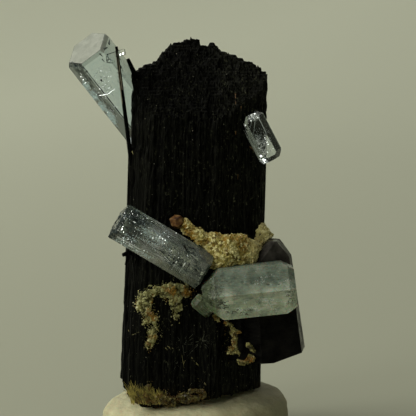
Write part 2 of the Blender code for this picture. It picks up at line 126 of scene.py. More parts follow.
# White needles on its front, in stars: x and z of the middle, count and longest reach, in mm
STAR_NEEDLES = ((0.9, 13.4, 15, 3.0), (-1.6, 13.0, 10, 2.6), (-2.4, 10.4, 5, 1.4))

# The column's finer relief, which only the looks have; seeds move one noise away from another
SWELL_SEED = 7.3
RIDGE_SEED = 1.7
FINE_SEED = 3.1
TOP_SEED = 2.5
FOOT_SEED = 9.5
SKIN_SIDES = 780
SKIN_RINGS = 96
FINE_RIDGES = ((0.55 * MM, 0.16 * MM), (0.24 * MM, 0.07 * MM))
CHIP_WIDTH = 0.38 * MM
CHIP_LENGTH = 1.5 * MM
CHIP_DEPTH = 0.2 * MM
FLAKY_FROM_Z = 36 * MM
FLAKY_FULL_Z = 45 * MM
FLAKY_SIZE = 0.55 * MM
FLAKY_DEPTH = 0.16 * MM
FINE_STEPS = ((0.55 * MM, 0.20 * MM), (0.30 * MM, 0.10 * MM))
TERRACE_HEIGHT = 0.42 * MM
TERRACE_SHARE = 0.55
END_GRID = 0.17 * MM

# Needle, spur and spike at its left side: foot, tip and the radius at each, in mm
NEEDLE = ((-8.0, -3.4, 33.0), (-10.35, -5.0, 52.2), 0.36, 0.2)
SPUR = ((-6.6, -5.4, 25.6), (-9.55, -6.8, 24.7), 0.8, 0.25)
SPIKE = ((-7.4, -1.6, 47.0), (-8.95, -2.0, 50.5), 0.5, 0.25)

# Splinters of the spur, by x, high z and low z in mm, and the two painted highlights along the needle
SPLINTER_RADIUS = 0.22 * MM
SPLINTERS = (
    (-9.1, 25.9, 23.2), (-8.8, 26.2, 23.9), (-8.4, 25.8, 23.4), (-9.2, 24.8, 23.4), (-8.0, 25.4, 23.2),
)
NEEDLE_HIGHLIGHT_RADIUS = 0.07 * MM
NEEDLE_PAINTED_HIGHLIGHTS = (((-9.6, -4.74, 44.6), (-10.45, -5.2, 51.9)), ((-9.6, -4.95, 46.5), (-10.2, -5.22, 51.5)))

# Beryl crystals, as in the part's source, in mm and degrees
FACE_TO_VIEWER = (-90, -30, 30, 90, 150, 210)
EDGE_TO_VIEWER = (-120, -60, 0, 60, 120, 180)
AQUAMARINES = {
    "aquamarine_upper_left": {
        "base": (-6.0, 3.25, 41.0), "tip": (-14.1, -4.1, 52.05), "angles": FACE_TO_VIEWER,
        "flats": (2.85, 2.6, 2.65, 2.8, 3.2, 3.2),
        "tip_bevels": ((-30, 60, 0.3), (150, 55, 0.5), (-90, 60, 0.25), (210, 62, 0.3)),
        "base_bevels": (),
    },
    "aquamarine_upper_right": {
        "base": (10.35, -6.1, 37.3), "tip": (7.25, -6.0, 43.25), "angles": FACE_TO_VIEWER,
        "flats": (1.42, 1.46, 1.46, 1.4, 1.46, 1.46),
        "tip_bevels": ((-90, 48, 0.7), (-30, 50, 0.55), (210, 50, 0.8), (30, 50, 0.5), (150, 50, 0.5)),
        "base_bevels": ((-90, 50, 0.5), (-30, 52, 0.7), (210, 55, 0.45), (30, 50, 0.5)),
    },
    "aquamarine_middle_left": {
        "base": (1.35, -10.0, 22.85), "tip": (-9.95, -11.3, 29.75), "angles": FACE_TO_VIEWER,
        "flats": (2.2, 2.2, 2.2, 2.15, 2.2, 2.25),
        "tip_bevels": ((-90, 55, 0.3), (30, 60, 0.25)),
        "base_bevels": ((-90, 50, 0.3),),
    },
    "aquamarine_lower_right": {
        "base": (1.05, -11.5, 19.9), "tip": (13.1, -11.2, 21.15), "angles": EDGE_TO_VIEWER,
        "flats": (3.3, 3.3, 3.3, 3.3, 3.3, 3.3),
        "tip_bevels": ((-120, 58, 0.5), (-60, 55, 0.55), (0, 60, 0.8), (180, 58, 0.9), (60, 55, 0.6)),
        "base_bevels": ((-120, 48, 1.5), (-60, 50, 1.3), (0, 48, 2.2), (180, 50, 2.0), (120, 50, 1.5)),
    },
    "aquamarine_small": {
        "base": (2.1, -9.6, 17.5), "tip": (0.1, -10.2, 19.2), "angles": FACE_TO_VIEWER,
        "flats": (0.85, 0.9, 0.95, 0.85, 0.9, 0.9),
        "tip_bevels": ((-90, 50, 0.3), (-30, 50, 0.35), (210, 50, 0.3)),
        "base_bevels": (),
    },
}

# Smoky quartz and garnet, as in the part's source
QUARTZ_FOOT = (9.5, -5.2, 10.7)
QUARTZ_HEIGHT = 15.9 * MM
QUARTZ_SIDES = (
    (-8, 5.2, 8), (52, 4.45, 8), (112, 4.6, 5), (172, 4.9, -2), (232, 4.55, 3), (291, 4.65, 6),
)
QUARTZ_TIP = (
    (-8, 20, 23.4), (-8, 38, 18.0), (52, 40, 18.3), (112, 42, 17.8), (180, 45, 15.5), (232, 40, 17.6),
    (291, 30, 20.6),
)
QUARTZ_FOOT_CHAMFER = (0, 17, 0.9)
GARNET_CENTRE = (-2.3, -9.1, 29.35)
GARNET_RADIUS = 0.8 * MM
GARNET_TURN = (35, 20, 15)

# How the crystals bend light, and how wide their edges are broken
BERYL_IOR = 1.575
QUARTZ_IOR = 1.544
BERYL_EDGE = 0.06 * MM
QUARTZ_EDGE = 0.07 * MM
GARNET_EDGE = 0.05 * MM

# Putty, as in the part's source, with finer dents
PUTTY_HALF_WIDTH = 12.7 * MM
PUTTY_HALF_DEPTH = 10.6 * MM
PUTTY_MIDDLE = (0.15, 0.4)
PUTTY_WAIST_Z = 1.9 * MM
PUTTY_TOP_LEFT = 5.0 * MM
PUTTY_TOP_RIGHT = 6.9 * MM
PUTTY_RISE_BACK = 0.09
PUTTY_SQUARENESS = 0.62
PUTTY_SEGMENTS = 160
PUTTY_WOBBLE = 0.035
DENT_DEPTH = 0.16 * MM
DENT_WIDTH = 2.5 * MM
SMALL_DENT_WIDTH = 0.9 * MM
PIT_WIDTH = 0.6 * MM

# Mica clumps, and the heights in mm between which the fringe's fibres start
CLUMP_WIDTH = 1 * MM
FRINGE_FEET = (4.9, 5.9)

# Flakes and cracks; the limits keep them inside the solids' box
SKIN_OVER_FLAKES = 0.18 * MM
FLAKES_IN_ROW = 8
FLAKE_THICKNESS = 0.01 * MM
CRACK_THICKNESS = 0.02 * MM
FRONT_LIMIT = -15.24 * MM
LEFT_LIMIT = -16.68 * MM

# Where the viewer's lines start, and how far they are taken to reach when they miss, in mm
RAY_START_Y = -30
COLUMN_FRONT_Y = -8
CRYSTALS_FRONT_Y = -12


def mm(point):
    """A point written in millimetres, as a vector in metres."""
    return Vector(point) * MM


# Meshes

class Heap:
    """Many small shapes gathered into one mesh."""

    def __init__(self):
        self.points = []
        self.faces = []

    def prism(self, lower, upper):
        """A solid between two rings of points."""
        start, sides = len(self.points), len(lower)
        ring = range(start, start + sides)
        self.points.extend(lower + upper)
        self.faces.append(tuple(reversed(ring)))
        self.faces.append(tuple(k + sides for k in ring))
        for k in ring:
            m = k + 1 if k + 1 < start + sides else start
            self.faces.append((k, m, sides + m, sides + k))

    def plate(self, centre, normal, spin, radius, thickness, chance, sides=6):
        """A thin uneven plate, such as a flake of mica, turned about its normal by spin."""
        across, along = turned(normal, spin)
        half = normal * thickness / 2
        rim = []
        for k in range(sides):
            turn = 2 * math.pi * k / sides
            reach = radius * chance.uniform(0.75, 1.15)
            rim.append(centre + across * math.cos(turn) * reach + along * math.sin(turn) * reach)
        self.prism([point - half for point in rim], [point + half for point in rim])

    def spike(self, foot, tip, radius, sides=4, tip_share=0.25):
        """A thin tapering fibre or needle."""
        axis = (tip - foot).normalized()
        across = axis.orthogonal().normalized()
        along = axis.cross(across)
        turns = [2 * math.pi * k / sides for k in range(sides)]
        ways = [across * math.cos(turn) + along * math.sin(turn) for turn in turns]
        self.prism([foot + way * radius for way in ways], [tip + way * (radius * tip_share) for way in ways])

    def piece(self, name, material, slot, smooth=False):
        mesh = bpy.data.meshes.new(name)
        mesh.from_pydata(self.points, [], self.faces)
        mesh.update()
        return dressed(name, mesh, material, slot, smooth)


def linked(name, data):
    """A new object in the scene."""
    thing = bpy.data.objects.new(name, data)
    bpy.context.scene.collection.objects.link(thing)
    return thing


def dressed(name, mesh, material, slot, smooth=False):
    """A piece of the specimen from a mesh: linked, finished and carried by the one body."""
    mesh.materials.append(material)
    for polygon in mesh.polygons:
        polygon.use_smooth = smooth
    piece = linked(name, mesh)
    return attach(piece, "root")


def mesh_from(name, mesh_maker, matrix=None):
    """A mesh in the frame from a mesh maker, which is freed."""
    if matrix is not None:
        mesh_maker.transform(matrix)
    bmesh.ops.recalc_face_normals(mesh_maker, faces=mesh_maker.faces)
    mesh = bpy.data.meshes.new(name)
    mesh_maker.to_mesh(mesh)
    mesh_maker.free()
    return mesh


def turned(normal, spin):
    """Two directions across a normal, turned about it by spin."""
    across = normal.orthogonal().normalized()
    along = normal.cross(across)
    return (
        across * math.cos(spin) + along * math.sin(spin),
        along * math.cos(spin) - across * math.sin(spin),
    )


def shake(chance):
    """A random vector, mostly about as long as 1."""
    return Vector([chance.gauss(0, 1) for _ in range(3)])


def any_turn(chance):
    return chance.uniform(0, 2 * math.pi)


def scattered(mesh, count, chance):
    """Points and normals spread evenly over a mesh's faces."""
    mesh.calc_loop_triangles()
    triangles = mesh.loop_triangles
    places = mesh.vertices
    for triangle in chance.choices(triangles, weights=[t.area for t in triangles], k=count):
        a, b, c = (places[k].co for k in triangle.vertices)
        u, v = chance.random(), chance.random()
        if u + v > 1:
            u, v = 1 - u, 1 - v
        yield a + (b - a) * u + (c - a) * v, triangle.normal.copy()


# Shaders

class Shader:
    """A Principled material and the nodes that drive it."""

    def __init__(self, name, colour=(0.5, 0.5, 0.5), roughness=0.5, stand=None, **plain):
        self.stand = stand
        self.material = bpy.data.materials.new(name)
        self.material.use_nodes = True
        self.tree = self.material.node_tree
        self.surface = self.tree.nodes["Principled BSDF"]
        self.surface.inputs["Base Color"].default_value = (*colour, 1)
        self.surface.inputs["Roughness"].default_value = roughness
        for socket, value in plain.items():
            self.surface.inputs[socket.replace("_", " ")].default_value = value
        self.place = self.node("TexCoord").outputs["Object"]

    def node(self, kind, **values):
        made = self.tree.nodes.new("ShaderNode" + kind)
        for key, value in values.items():
            setattr(made, key, value)
        return made

    def link(self, source, target):
        self.tree.links.new(source, target)

    def fill(self, socket, source):
        """Links a socket to another one, or gives it a plain value or colour."""
        if isinstance(source, bpy.types.NodeSocket):
            self.link(source, socket)
        else:
            socket.default_value = (*source, 1) if isinstance(source, tuple) else source

    def stretched(self, per_mm):
        """Coordinates in millimetres, of the frame or of a crystal's stand, scaled along each axis."""
        if not isinstance(per_mm, tuple):
            per_mm = (per_mm,) * 3
        mapping = self.node("Mapping")
        if self.stand is None:
            mapping.inputs["Scale"].default_value = [k / MM for k in per_mm]
        else:
            mapping.vector_type = "TEXTURE"
            mapping.inputs["Location"].default_value = self.stand.to_translation()
            mapping.inputs["Rotation"].default_value = self.stand.to_euler()
            mapping.inputs["Scale"].default_value = [MM / k for k in per_mm]
        self.link(self.place, mapping.inputs["Vector"])
        return mapping.outputs["Vector"]

    def noise(self, per_mm, detail=4, roughness=0.55, distortion=0.0):
        made = self.node("TexNoise")
        self.link(self.stretched(per_mm), made.inputs["Vector"])
        settings = {"Scale": 1, "Detail": detail, "Roughness": roughness, "Distortion": distortion}
        for socket, value in settings.items():
            made.inputs[socket].default_value = value
        return made.outputs[0]

    def cells(self, per_mm, feature="F1"):
        made = self.node("TexVoronoi", feature=feature)
        self.link(self.stretched(per_mm), made.inputs["Vector"])
        made.inputs["Scale"].default_value = 1
        return made

    def ramp(self, source, stops):
        """Colours or greys along a value: (position, colour) or (position, grey)."""
        made = self.node("ValToRGB")
        self.link(source, made.inputs[0])
        points = made.color_ramp.elements
        while len(points) < len(stops):
            points.new(0.5)
        for point, (position, colour) in zip(points, stops):
            point.position = position
            point.color = (*colour, 1) if isinstance(colour, tuple) else (colour, colour, colour, 1)
        return made.outputs[0]

    def mix(self, share, a, b, blend="MIX"):
        made = self.node("Mix", data_type="RGBA", blend_type=blend)
        for socket, source in ((0, share), (6, a), (7, b)):
            self.fill(made.inputs[socket], source)
        return made.outputs[2]

    def multiply(self, a, b):
        return self.mix(1, a, b, "MULTIPLY")

    def math(self, operation, a, b):
        made = self.node("Math", operation=operation)
        for socket, source in zip(made.inputs, (a, b)):
            self.fill(socket, source)
        return made.outputs[0]

    def mottle(self, per_mm, stops, **settings):
        """Colours or greys along a noise."""
        return self.ramp(self.noise(per_mm, **settings), stops)

    def coordinate(self, axis, span):
        """One coordinate as a share of a span in millimetres."""
        split = self.node("SeparateXYZ")
        self.link(self.stretched(1), split.inputs[0])
        return self.math("DIVIDE", split.outputs[axis], span)

    def colour(self, source):
        self.link(source, self.surface.inputs["Base Color"])

    def roughness(self, source):
        self.link(source, self.surface.inputs["Roughness"])

    def bump(self, source, strength, depth_mm):
        made = self.node("Bump")
        made.inputs["Strength"].default_value = strength
        made.inputs["Distance"].default_value = depth_mm * MM
        self.link(source, made.inputs["Height"])
        last = self.surface.inputs["Normal"].links
        if last:
            self.link(last[0].from_socket, made.inputs["Normal"])
        self.link(made.outputs[0], self.surface.inputs["Normal"])

    def absorb(self, colour, density):
        """Colour that light takes on along its way through the crystal, by density per metre."""
        volume = self.node("VolumeAbsorption")
        volume.inputs["Color"].default_value = (*colour, 1)
        volume.inputs["Density"].default_value = density
        self.link(volume.outputs[0], self.tree.nodes["Material Output"].inputs["Volume"])


def tourmaline_shader():
    look = Shader("black_tourmaline", roughness=0.4, Specular_IOR_Level=0.03)
    streaks = look.noise((4.2, 4.2, 0.5), detail=6, roughness=0.72)
    black = look.ramp(streaks, [(0.44, (0.0003, 0.0003, 0.00025)), (0.66, (0.020, 0.0212, 0.0153))])
    grains = look.mottle((3.4, 3.4, 2.2), [(0.59, 0.0), (0.65, 1.0)], detail=5, roughness=0.7)
    patches = look.mottle((0.35, 0.35, 0.2), [(0.38, 0.12), (0.65, 1.0)], detail=3)
    dusty = look.mix(look.math("MULTIPLY", grains, patches), black, (0.125, 0.13, 0.08))
    low = look.ramp(look.coordinate("Z", 30.0), [(0.14, 1.0), (0.26, 0.0)])
    rust = look.mottle((0.9, 0.9, 0.4), [(0.5, 0.0), (0.66, 0.4)], detail=5)
    stained = look.mix(look.math("MULTIPLY", low, rust), dusty, (0.07, 0.045, 0.012))
    # Painted light and shade: the colour is much darker at the column's far left, which the key lamp lights,
    # and lighter to the right of the middle.
    across = look.math("ADD", look.coordinate("X", 20.0), 0.5)
    painted_light_and_shade = look.ramp(across, [(0.04, 0.05), (0.18, 0.42), (0.6, 0.46), (0.75, 1.0)])
    look.colour(look.multiply(stained, painted_light_and_shade))
    look.roughness(look.mottle((2.1, 2.1, 0.15), [(0.3, 0.3), (0.7, 0.65)], detail=3))
    look.bump(look.noise((5, 5, 0.25), detail=5, roughness=0.6), 0.8, 0.07)
    look.bump(look.noise((6, 6, 4), detail=4), 0.6, 0.04)
    return look.material


def beryl_shader(name, node, tint, density, transmission, tones, along):
    """A beryl crystal whose frost varies in clouds and along the crystal, from its base to its tip."""
    spec = AQUAMARINES[node]
    look = Shader(
        name, roughness=0.05, stand=crystal_frame(spec), Transmission_Weight=transmission, IOR=BERYL_IOR,
    )
    clouds = look.noise((0.9, 0.9, 0.6), detail=7, roughness=0.7, distortion=0.4)
    fleecy = look.ramp(clouds, [(0.34, 0.25), (0.64, 1.0)])
    share = look.ramp(look.coordinate("Z", crystal_length(spec) / MM), along)
    look.colour(look.ramp(look.math("MULTIPLY", fleecy, share), tones))
    look.roughness(look.mottle((1.2, 1.2, 0.5), [(0.4, 0.0), (0.62, 0.04)], detail=4))
    look.bump(look.noise((2.6, 2.6, 0.12), detail=4), 0.25, 0.025)
    look.bump(look.noise(1.6, detail=3), 0.12, 0.03)
    look.absorb(tint, density)
    return look.material


def frosted_end_shader():
    """The pale etched end of the upper left crystal."""
    look = Shader("frosted_end", roughness=0.3, Transmission_Weight=0.4, IOR=BERYL_IOR)
    look.colour(look.mottle(
        0.8, [(0.35, (0.49, 0.53, 0.44)), (0.65, (0.71, 0.75, 0.65))], detail=5, roughness=0.65
    ))
    look.bump(look.noise(1.5, detail=5), 0.4, 0.06)
    look.absorb((0.6, 0.82, 0.9), 40)
    return look.material


def milky_shader(name, node, upper, lower):
    """Clouded beryl with painted shade on its upper side and a painted shadow at its left end."""
    spec = AQUAMARINES[node]
    look = Shader(
        name, roughness=0.3, stand=crystal_frame(spec), Transmission_Weight=0.3, IOR=BERYL_IOR,
        Specular_IOR_Level=0.18, Subsurface_Weight=0.3, Subsurface_Scale=1.5 * MM,
    )
    clouds = look.noise(0.5, detail=7, roughness=0.66, distortion=0.3)
    body = look.ramp(clouds, [
        (0.36, (0.34, 0.41, 0.33)), (0.5, (0.66, 0.74, 0.6)), (0.64, (0.92, 0.97, 0.85)),
    ])
    # Painted shade: the upper side takes the darker tone upper, against the light from above.
    across = look.math("ADD", look.coordinate("X", 2.4 * spec["flats"][0]), 0.5)
    shaded = look.multiply(body, look.ramp(across, [(0.3, upper), (0.62, lower)]))
    # Painted shadow: the tone is darkened at the crystal's left end.
    painted_end_shadow = look.ramp(look.coordinate("Z", crystal_length(spec) / MM), [
        (0.0, (0.09, 0.12, 0.06)), (0.12, (0.16, 0.21, 0.11)), (0.17, 0.85), (0.24, 1.0),
    ])
    shaded = look.multiply(shaded, painted_end_shadow)
    specks = look.mottle((3.2, 3.2, 2.4), [(0.60, 0.0), (0.70, 0.45)], detail=4)
    frosted = look.mix(specks, shaded, (0.80, 0.86, 0.78))
    cracks = look.cells((0.35, 0.5, 0.8), feature="DISTANCE_TO_EDGE").outputs["Distance"]
    line = look.ramp(cracks, [(0.0, 0.5), (0.03, 0.0)])
    look.colour(look.mix(line, frosted, (0.10, 0.13, 0.10)))
    look.roughness(look.mottle((2.5, 2.5, 0.6), [(0.3, 0.14), (0.7, 0.45)], detail=3))
    look.bump(look.noise((2.4, 2.4, 0.3), detail=4), 0.4, 0.05)
    look.bump(look.noise(0.8, detail=4), 0.5, 0.15)
    look.absorb((0.75, 0.88, 0.84), 80)
    return look.material


def smoky_shader():
    look = Shader(
        "smoky_quartz_glass", roughness=0.14, Transmission_Weight=0.05, IOR=QUARTZ_IOR,
        Specular_IOR_Level=0.012,
    )
    look.absorb((0.42, 0.39, 0.35), 1400)
    clouds = look.noise(0.5, detail=6, roughness=0.65)
    smoke = look.ramp(clouds, [(0.35, (0.012, 0.011, 0.010)), (0.66, (0.085, 0.078, 0.07))])
    height = look.coordinate("Z", 30.0)
    # Painted shade: the colour of the left strip, which faces the key lamp, is darkened.
    side = look.ramp(look.coordinate("X", 20.0), [(0.42, 0.45), (0.46, 1.0)])
    smoke = look.multiply(smoke, side)
    look.colour(look.multiply(smoke, look.ramp(height, [(0.62, 0.15), (0.84, 1.0)])))
    look.roughness(look.mottle(0.6, [(0.35, 0.12), (0.7, 0.5)], detail=5))
    look.bump(look.noise((0.4, 0.4, 1.6), detail=3), 0.6, 0.12)
    look.bump(look.noise(3, detail=4), 0.3, 0.03)
    return look.material


def mica_shader(name, pale, middle, dark, stain, stain_from, lobe=0.0):
    """Mica in grains of different tones, stained in patches, and painted lighter on its lobe to the right."""
    look = Shader(name, roughness=0.42, Specular_IOR_Level=0.5)
    grains = look.node("SeparateXYZ")
    look.link(look.cells(2.4).outputs["Color"], grains.inputs[0])
    uneven = look.math("MULTIPLY", look.noise(1.1, detail=4, roughness=0.7), 0.9)
    tone = look.math("MULTIPLY", look.math("ADD", grains.outputs[0], uneven), 0.7)
    body = look.ramp(tone, [(0.34, dark), (0.62, middle), (0.86, pale)])
    rusty = look.mottle(0.42, [(stain_from, 0.0), (stain_from + 0.1, 1.0)], detail=4)
    fine = look.ramp(grains.outputs[1], [(0.3, 0.15), (0.6, 0.95)])
    stained = look.mix(look.math("MULTIPLY", rusty, fine), body, stain)
    # The lighter right lobe is partly the mica's own colour and partly painted light, against the shade it
    # lies in.
    pale_lobe_with_painted_light = look.ramp(look.coordinate("X", 20.0), [(0.33, 0.0), (0.37, lobe)])
    look.colour(look.mix(pale_lobe_with_painted_light, stained, pale))
    look.roughness(look.mottle(2.4, [(0.35, 0.22), (0.65, 0.65)]))
    look.bump(look.noise(6, detail=3), 0.5, 0.03)
    return look.material


def garnet_shader():
    look = Shader("garnet_red", roughness=0.3, Specular_IOR_Level=0.4)
    look.colour(look.mottle(2.2, [
        (0.35, (0.05, 0.02, 0.01)), (0.55, (0.16, 0.07, 0.02)), (0.7, (0.24, 0.155, 0.06)),
    ], detail=4))
    look.bump(look.noise(5), 0.4, 0.03)
    return look.material


def putty_shader():
    look = Shader("display_putty_grey", roughness=0.7, Subsurface_Weight=0.12, Subsurface_Scale=MM)
    body = look.mottle(0.35, [
        (0.3, (0.5, 0.47, 0.29)), (0.55, (0.64, 0.61, 0.39)), (0.75, (0.72, 0.69, 0.46)),
    ], detail=6, roughness=0.65)
    specks = look.mottle(3.0, [(0.66, 0.0), (0.74, 0.5)], detail=2)
    grimy = look.mix(specks, body, (0.25, 0.21, 0.12))
    rusty = look.mottle(1.3, [(0.68, 0.0), (0.74, 0.6)], detail=3)
    grimy = look.mix(rusty, grimy, (0.34, 0.20, 0.06))
    # Painted shade: the putty's colour darkens towards its right side, which the column shades from the key
    # lamp.
    reach = look.coordinate("X", 20.0)
    look.colour(look.multiply(grimy, look.ramp(reach, [(0.1, 1.0), (0.5, 0.66)])))
    look.bump(look.noise(0.9, detail=6, roughness=0.65), 0.9, 0.3)
    look.bump(look.noise(6, detail=3), 0.3, 0.02)
    return look.material


def plain_shader(name, colour, roughness, spread=0.5, per_mm=2.0, **plain):
    """One colour that varies between a darker and a lighter tone."""
    look = Shader(name, colour, roughness, **plain)
    tones = look.noise(per_mm, detail=4)
    dark = tuple(k * (1 - spread) for k in colour)
    light = tuple(min(1, k * (1 + spread)) for k in colour)
    look.colour(look.ramp(tones, [(0.38, dark), (0.62, light)]))
    return look.material


# Column

def section_corners():
    return [Vector(corner) * MM for corner in COLUMN_SECTION]


def section_length():
    corners = section_corners()
    return sum((b - a).length for a, b in zip(corners, corners[1:] + corners[:1]))


def polygon_point(distance):
    """The point that lies this far along the cross-section's straight sides."""
    corners = section_corners()
    distance %= section_length()
    for a, b in zip(corners, corners[1:] + corners[:1]):
        side = (b - a).length
        if distance <= side:
            return a.lerp(b, distance / side)
        distance -= side
    return corners[0]


def section_point(distance):
    """The same point with the cross-section's corners rounded, and its outward direction."""
    around = [polygon_point(distance + SECTION_ROUNDING * k / 2) for k in range(-2, 3)]
    point = sum(around, Vector((0, 0))) / len(around)
    along = (around[-1] - around[0]).normalized()
    return point, Vector((along.y, -along.x))


def ridges(point, z):
    """How far the striated side stands out: swells, ridges, finer ridges and chips along them."""
    place = Vector((point.x, point.y, 0))
    along = UP * (z / RIDGE_LENGTH)
    out = SWELL_DEPTH * noise.noise(place / SWELL_WIDTH + along + UP * SWELL_SEED)
    out += RIDGE_DEPTH * noise.noise(place / RIDGE_WIDTH + along * 2 + UP * RIDGE_SEED)
    for width, depth in FINE_RIDGES:
        out += depth * noise.noise(place / width + along * 4 + UP * FINE_SEED)
    chip = noise.noise(place / CHIP_WIDTH + UP * (z / CHIP_LENGTH))
    out -= CHIP_DEPTH * max(0, chip - 0.1) * 2
    flaky = min(1, max(0, (z - FLAKY_FROM_Z) / (FLAKY_FULL_Z - FLAKY_FROM_Z)))
    grain = Vector((point.x, point.y, z * 0.6)) / FLAKY_SIZE
    return out + FLAKY_DEPTH * flaky * (noise.noise(grain) + 0.6 * noise.noise(grain * 2.3) - 0.5)


def left_ledge(point, z):
    """How much further the left side stands out below the ledge."""
    share = min(1, max(0, (LEDGE_FROM_X - point.x) / (LEDGE_FROM_X - LEDGE_FULL_X)))
    height = min(1, max(0, (LEDGE_Z + LEDGE_HEIGHT / 2 - z) / LEDGE_HEIGHT))
    return LEDGE_DEPTH * share * height


def end_steps(point, seed):
    """The blocky relief of a termination, with finer blocks on it."""
    place = Vector((point.x, point.y, 0))
    coarse = place / STEP_WIDTH + UP * seed
    out = STEP_HEIGHT * (0.7 * noise.cell(coarse) - 0.35 + 0.8 * noise.noise(coarse * 0.8))
    for width, height in FINE_STEPS:
        out += height * (noise.cell(place / width + UP * seed) - 0.5)
    return out


def crest_height(x):
    for (x0, z0), (x1, z1) in zip(CREST, CREST[1:]):
        if x <= x1 * MM:
            return (z0 + (z1 - z0) * (x / MM - x0) / (x1 - x0)) * MM
    return CREST[-1][1] * MM


def top_height(point):
    dy = point.y - CREST_Y
    front = FRONT_TOP_Z + FRONT_SLOPE * dy
    back = crest_height(point.x) - BACK_SLOPE * max(dy, 0)
    height = min(front, back) + end_steps(point, TOP_SEED)
    terrace = math.floor(height / TERRACE_HEIGHT) * TERRACE_HEIGHT
    return height + TERRACE_SHARE * (terrace - height)


def foot_height(point):
    dx = point.x - FOOT_LOW_X
    rise = FOOT_RISE_RIGHT * dx if dx > 0 else -FOOT_RISE_LEFT * dx
    return FOOT_LOW_Z + rise + 0.6 * end_steps(point, FOOT_SEED)


def leaned(point, z):
    """A point of the leaning column: the axis drifts right with height."""
    return Vector((point.x + COLUMN_LEAN * (z - COLUMN_MIDDLE_Z), point.y, z))


def end_cap(points, faces, rim, plan, height, upwards):
    """Closes one end with a rough field of triangles inside the rim, whose plan is flat."""
    count = len(plan)
    low = Vector((min(p.x for p in plan), min(p.y for p in plan)))
    high = Vector((max(p.x for p in plan), max(p.y for p in plan)))
    columns, rows = (int((high[k] - low[k]) / END_GRID) + 1 for k in (0, 1))
    inner = []
    for i in range(columns):
        for j in range(rows):
            shift = Vector((0.5 * (j % 2), 0)) + 0.3 * noise.random_unit_vector().to_2d()
            inner.append(low + Vector((i + shift.x, j + shift.y)) * END_GRID)
    loop = [(k, (k + 1) % count) for k in range(count)]
    coords, _, triangles, origins, _, _ = delaunay_2d_cdt(plan + inner, loop, [], 1, 1e-8)
    corners = []
    for coord, origin in zip(coords, origins):
        ring = [k for k in origin if k < count]
        if ring:
            corners.append(rim[ring[0]])
        else:
            corners.append(len(points))
            points.append(leaned(coord, height(coord)))
    for triangle in triangles:
        order = triangle if upwards else triangle[::-1]
        faces.append(tuple(corners[k] for k in order))


def column_skin(material):
    """The whole column with its fine striations and blocky ends."""
    noise.seed_set(4)
    points, faces, feet, tops = [], [], [], []
    for k in range(SKIN_SIDES):
        point, outward = section_point(section_length() * k / SKIN_SIDES)
        low, high = foot_height(point), top_height(point)
        for ring in range(SKIN_RINGS):
            step = ring / (SKIN_RINGS - 1)
            z = low + (high - low) * (1.5 * step - 0.5 * step * step)
            bare = point + outward * (ridges(point, z) + left_ledge(point, z))
            points.append(leaned(bare, z))
            if ring == 0:
                feet.append(bare)
        tops.append(bare)
    for k in range(SKIN_SIDES):
        a, b = k * SKIN_RINGS, (k + 1) % SKIN_SIDES * SKIN_RINGS
        for ring in range(SKIN_RINGS - 1):
            faces.append((a + ring, b + ring, b + ring + 1, a + ring + 1))
    sides = len(faces)
    rim = [k * SKIN_RINGS for k in range(SKIN_SIDES)]
    end_cap(points, faces, [k + SKIN_RINGS - 1 for k in rim], tops, top_height, True)
    end_cap(points, faces, rim, feet, foot_height, False)
    mesh = bpy.data.meshes.new("tourmaline_skin")
    mesh.from_pydata(points, [], faces)
    mesh.update()
    skin = dressed("tourmaline_skin", mesh, material, "tourmaline")
    for polygon in mesh.polygons[:sides]:
        polygon.use_smooth = True
    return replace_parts(skin, "tourmaline_column")


def make_needles(material, light):
    """The needle, spur and spike at the column's left side, and painted highlights along the needle."""
    heap = Heap()
    for foot, tip, radius, tip_radius in (NEEDLE, SPUR, SPIKE):
        heap.spike(mm(foot), mm(tip), radius * MM, sides=6, tip_share=tip_radius / radius)
    for x, high, low in SPLINTERS:
        heap.spike(mm((x + 0.4, -6.6, high)), mm((x, -6.9, low)), SPLINTER_RADIUS, sides=5, tip_share=0.4)
    heap.piece("tourmaline_needles", material, "tourmaline")
    # Painted highlights: thin brownish streaks along the needle's edges.
    lights = Heap()
    for foot, tip in NEEDLE_PAINTED_HIGHLIGHTS:
        lights.spike(mm(foot), mm(tip), NEEDLE_HIGHLIGHT_RADIUS, tip_share=0.5)
    lights.piece("needle_painted_highlights", light, "tourmaline")


# Crystals with flat faces

def cut_solid(reach, planes):
    """A convex crystal: a block cut by each plane, given as a point on it and its outward normal."""
    mesh_maker = bmesh.new()
    bmesh.ops.create_cube(mesh_maker, size=2 * reach)
    for point, normal in planes:
        everything = mesh_maker.verts[:] + mesh_maker.edges[:] + mesh_maker.faces[:]
        bmesh.ops.bisect_plane(
            mesh_maker, geom=everything, dist=1e-7, plane_co=point, plane_no=normal, clear_outer=True
        )
        rim = [edge for edge in mesh_maker.edges if edge.is_boundary]
        if rim:
            bmesh.ops.holes_fill(mesh_maker, edges=rim, sides=0)
    bmesh.ops.remove_doubles(mesh_maker, verts=mesh_maker.verts, dist=1e-6)
    return mesh_maker


def face_normal(angle, tilt):
    """A direction at this angle round the axis, leaning from the axis by tilt; 90 is level."""
    a, t = math.radians(angle), math.radians(tilt)
    return Vector((math.cos(a) * math.sin(t), math.sin(a) * math.sin(t), math.cos(t)))


def crystal_length(spec):
    return (mm(spec["tip"]) - mm(spec["base"])).length


def crystal_frame(spec):
    """The matrix that stands a crystal on its base, along its axis, with local -Y to the viewer."""
    up = (mm(spec["tip"]) - mm(spec["base"])).normalized()
    back = -(VIEWER - VIEWER.dot(up) * up).normalized()
    matrix = Matrix((back.cross(up), back, up)).transposed().to_4x4()
    return Matrix.Translation(mm(spec["base"])) @ matrix


def bevel_planes(spec, key, end_z, upwards):
    flats = dict(zip(spec["angles"], spec["flats"]))
    for angle, tilt, width in spec[key]:
        normal = face_normal(angle, tilt)
        inset = face_normal(angle, 90) * (flats[angle] - width) * MM
        if not upwards:
            normal.z = -normal.z
        yield Vector((inset.x, inset.y, end_z)), normal


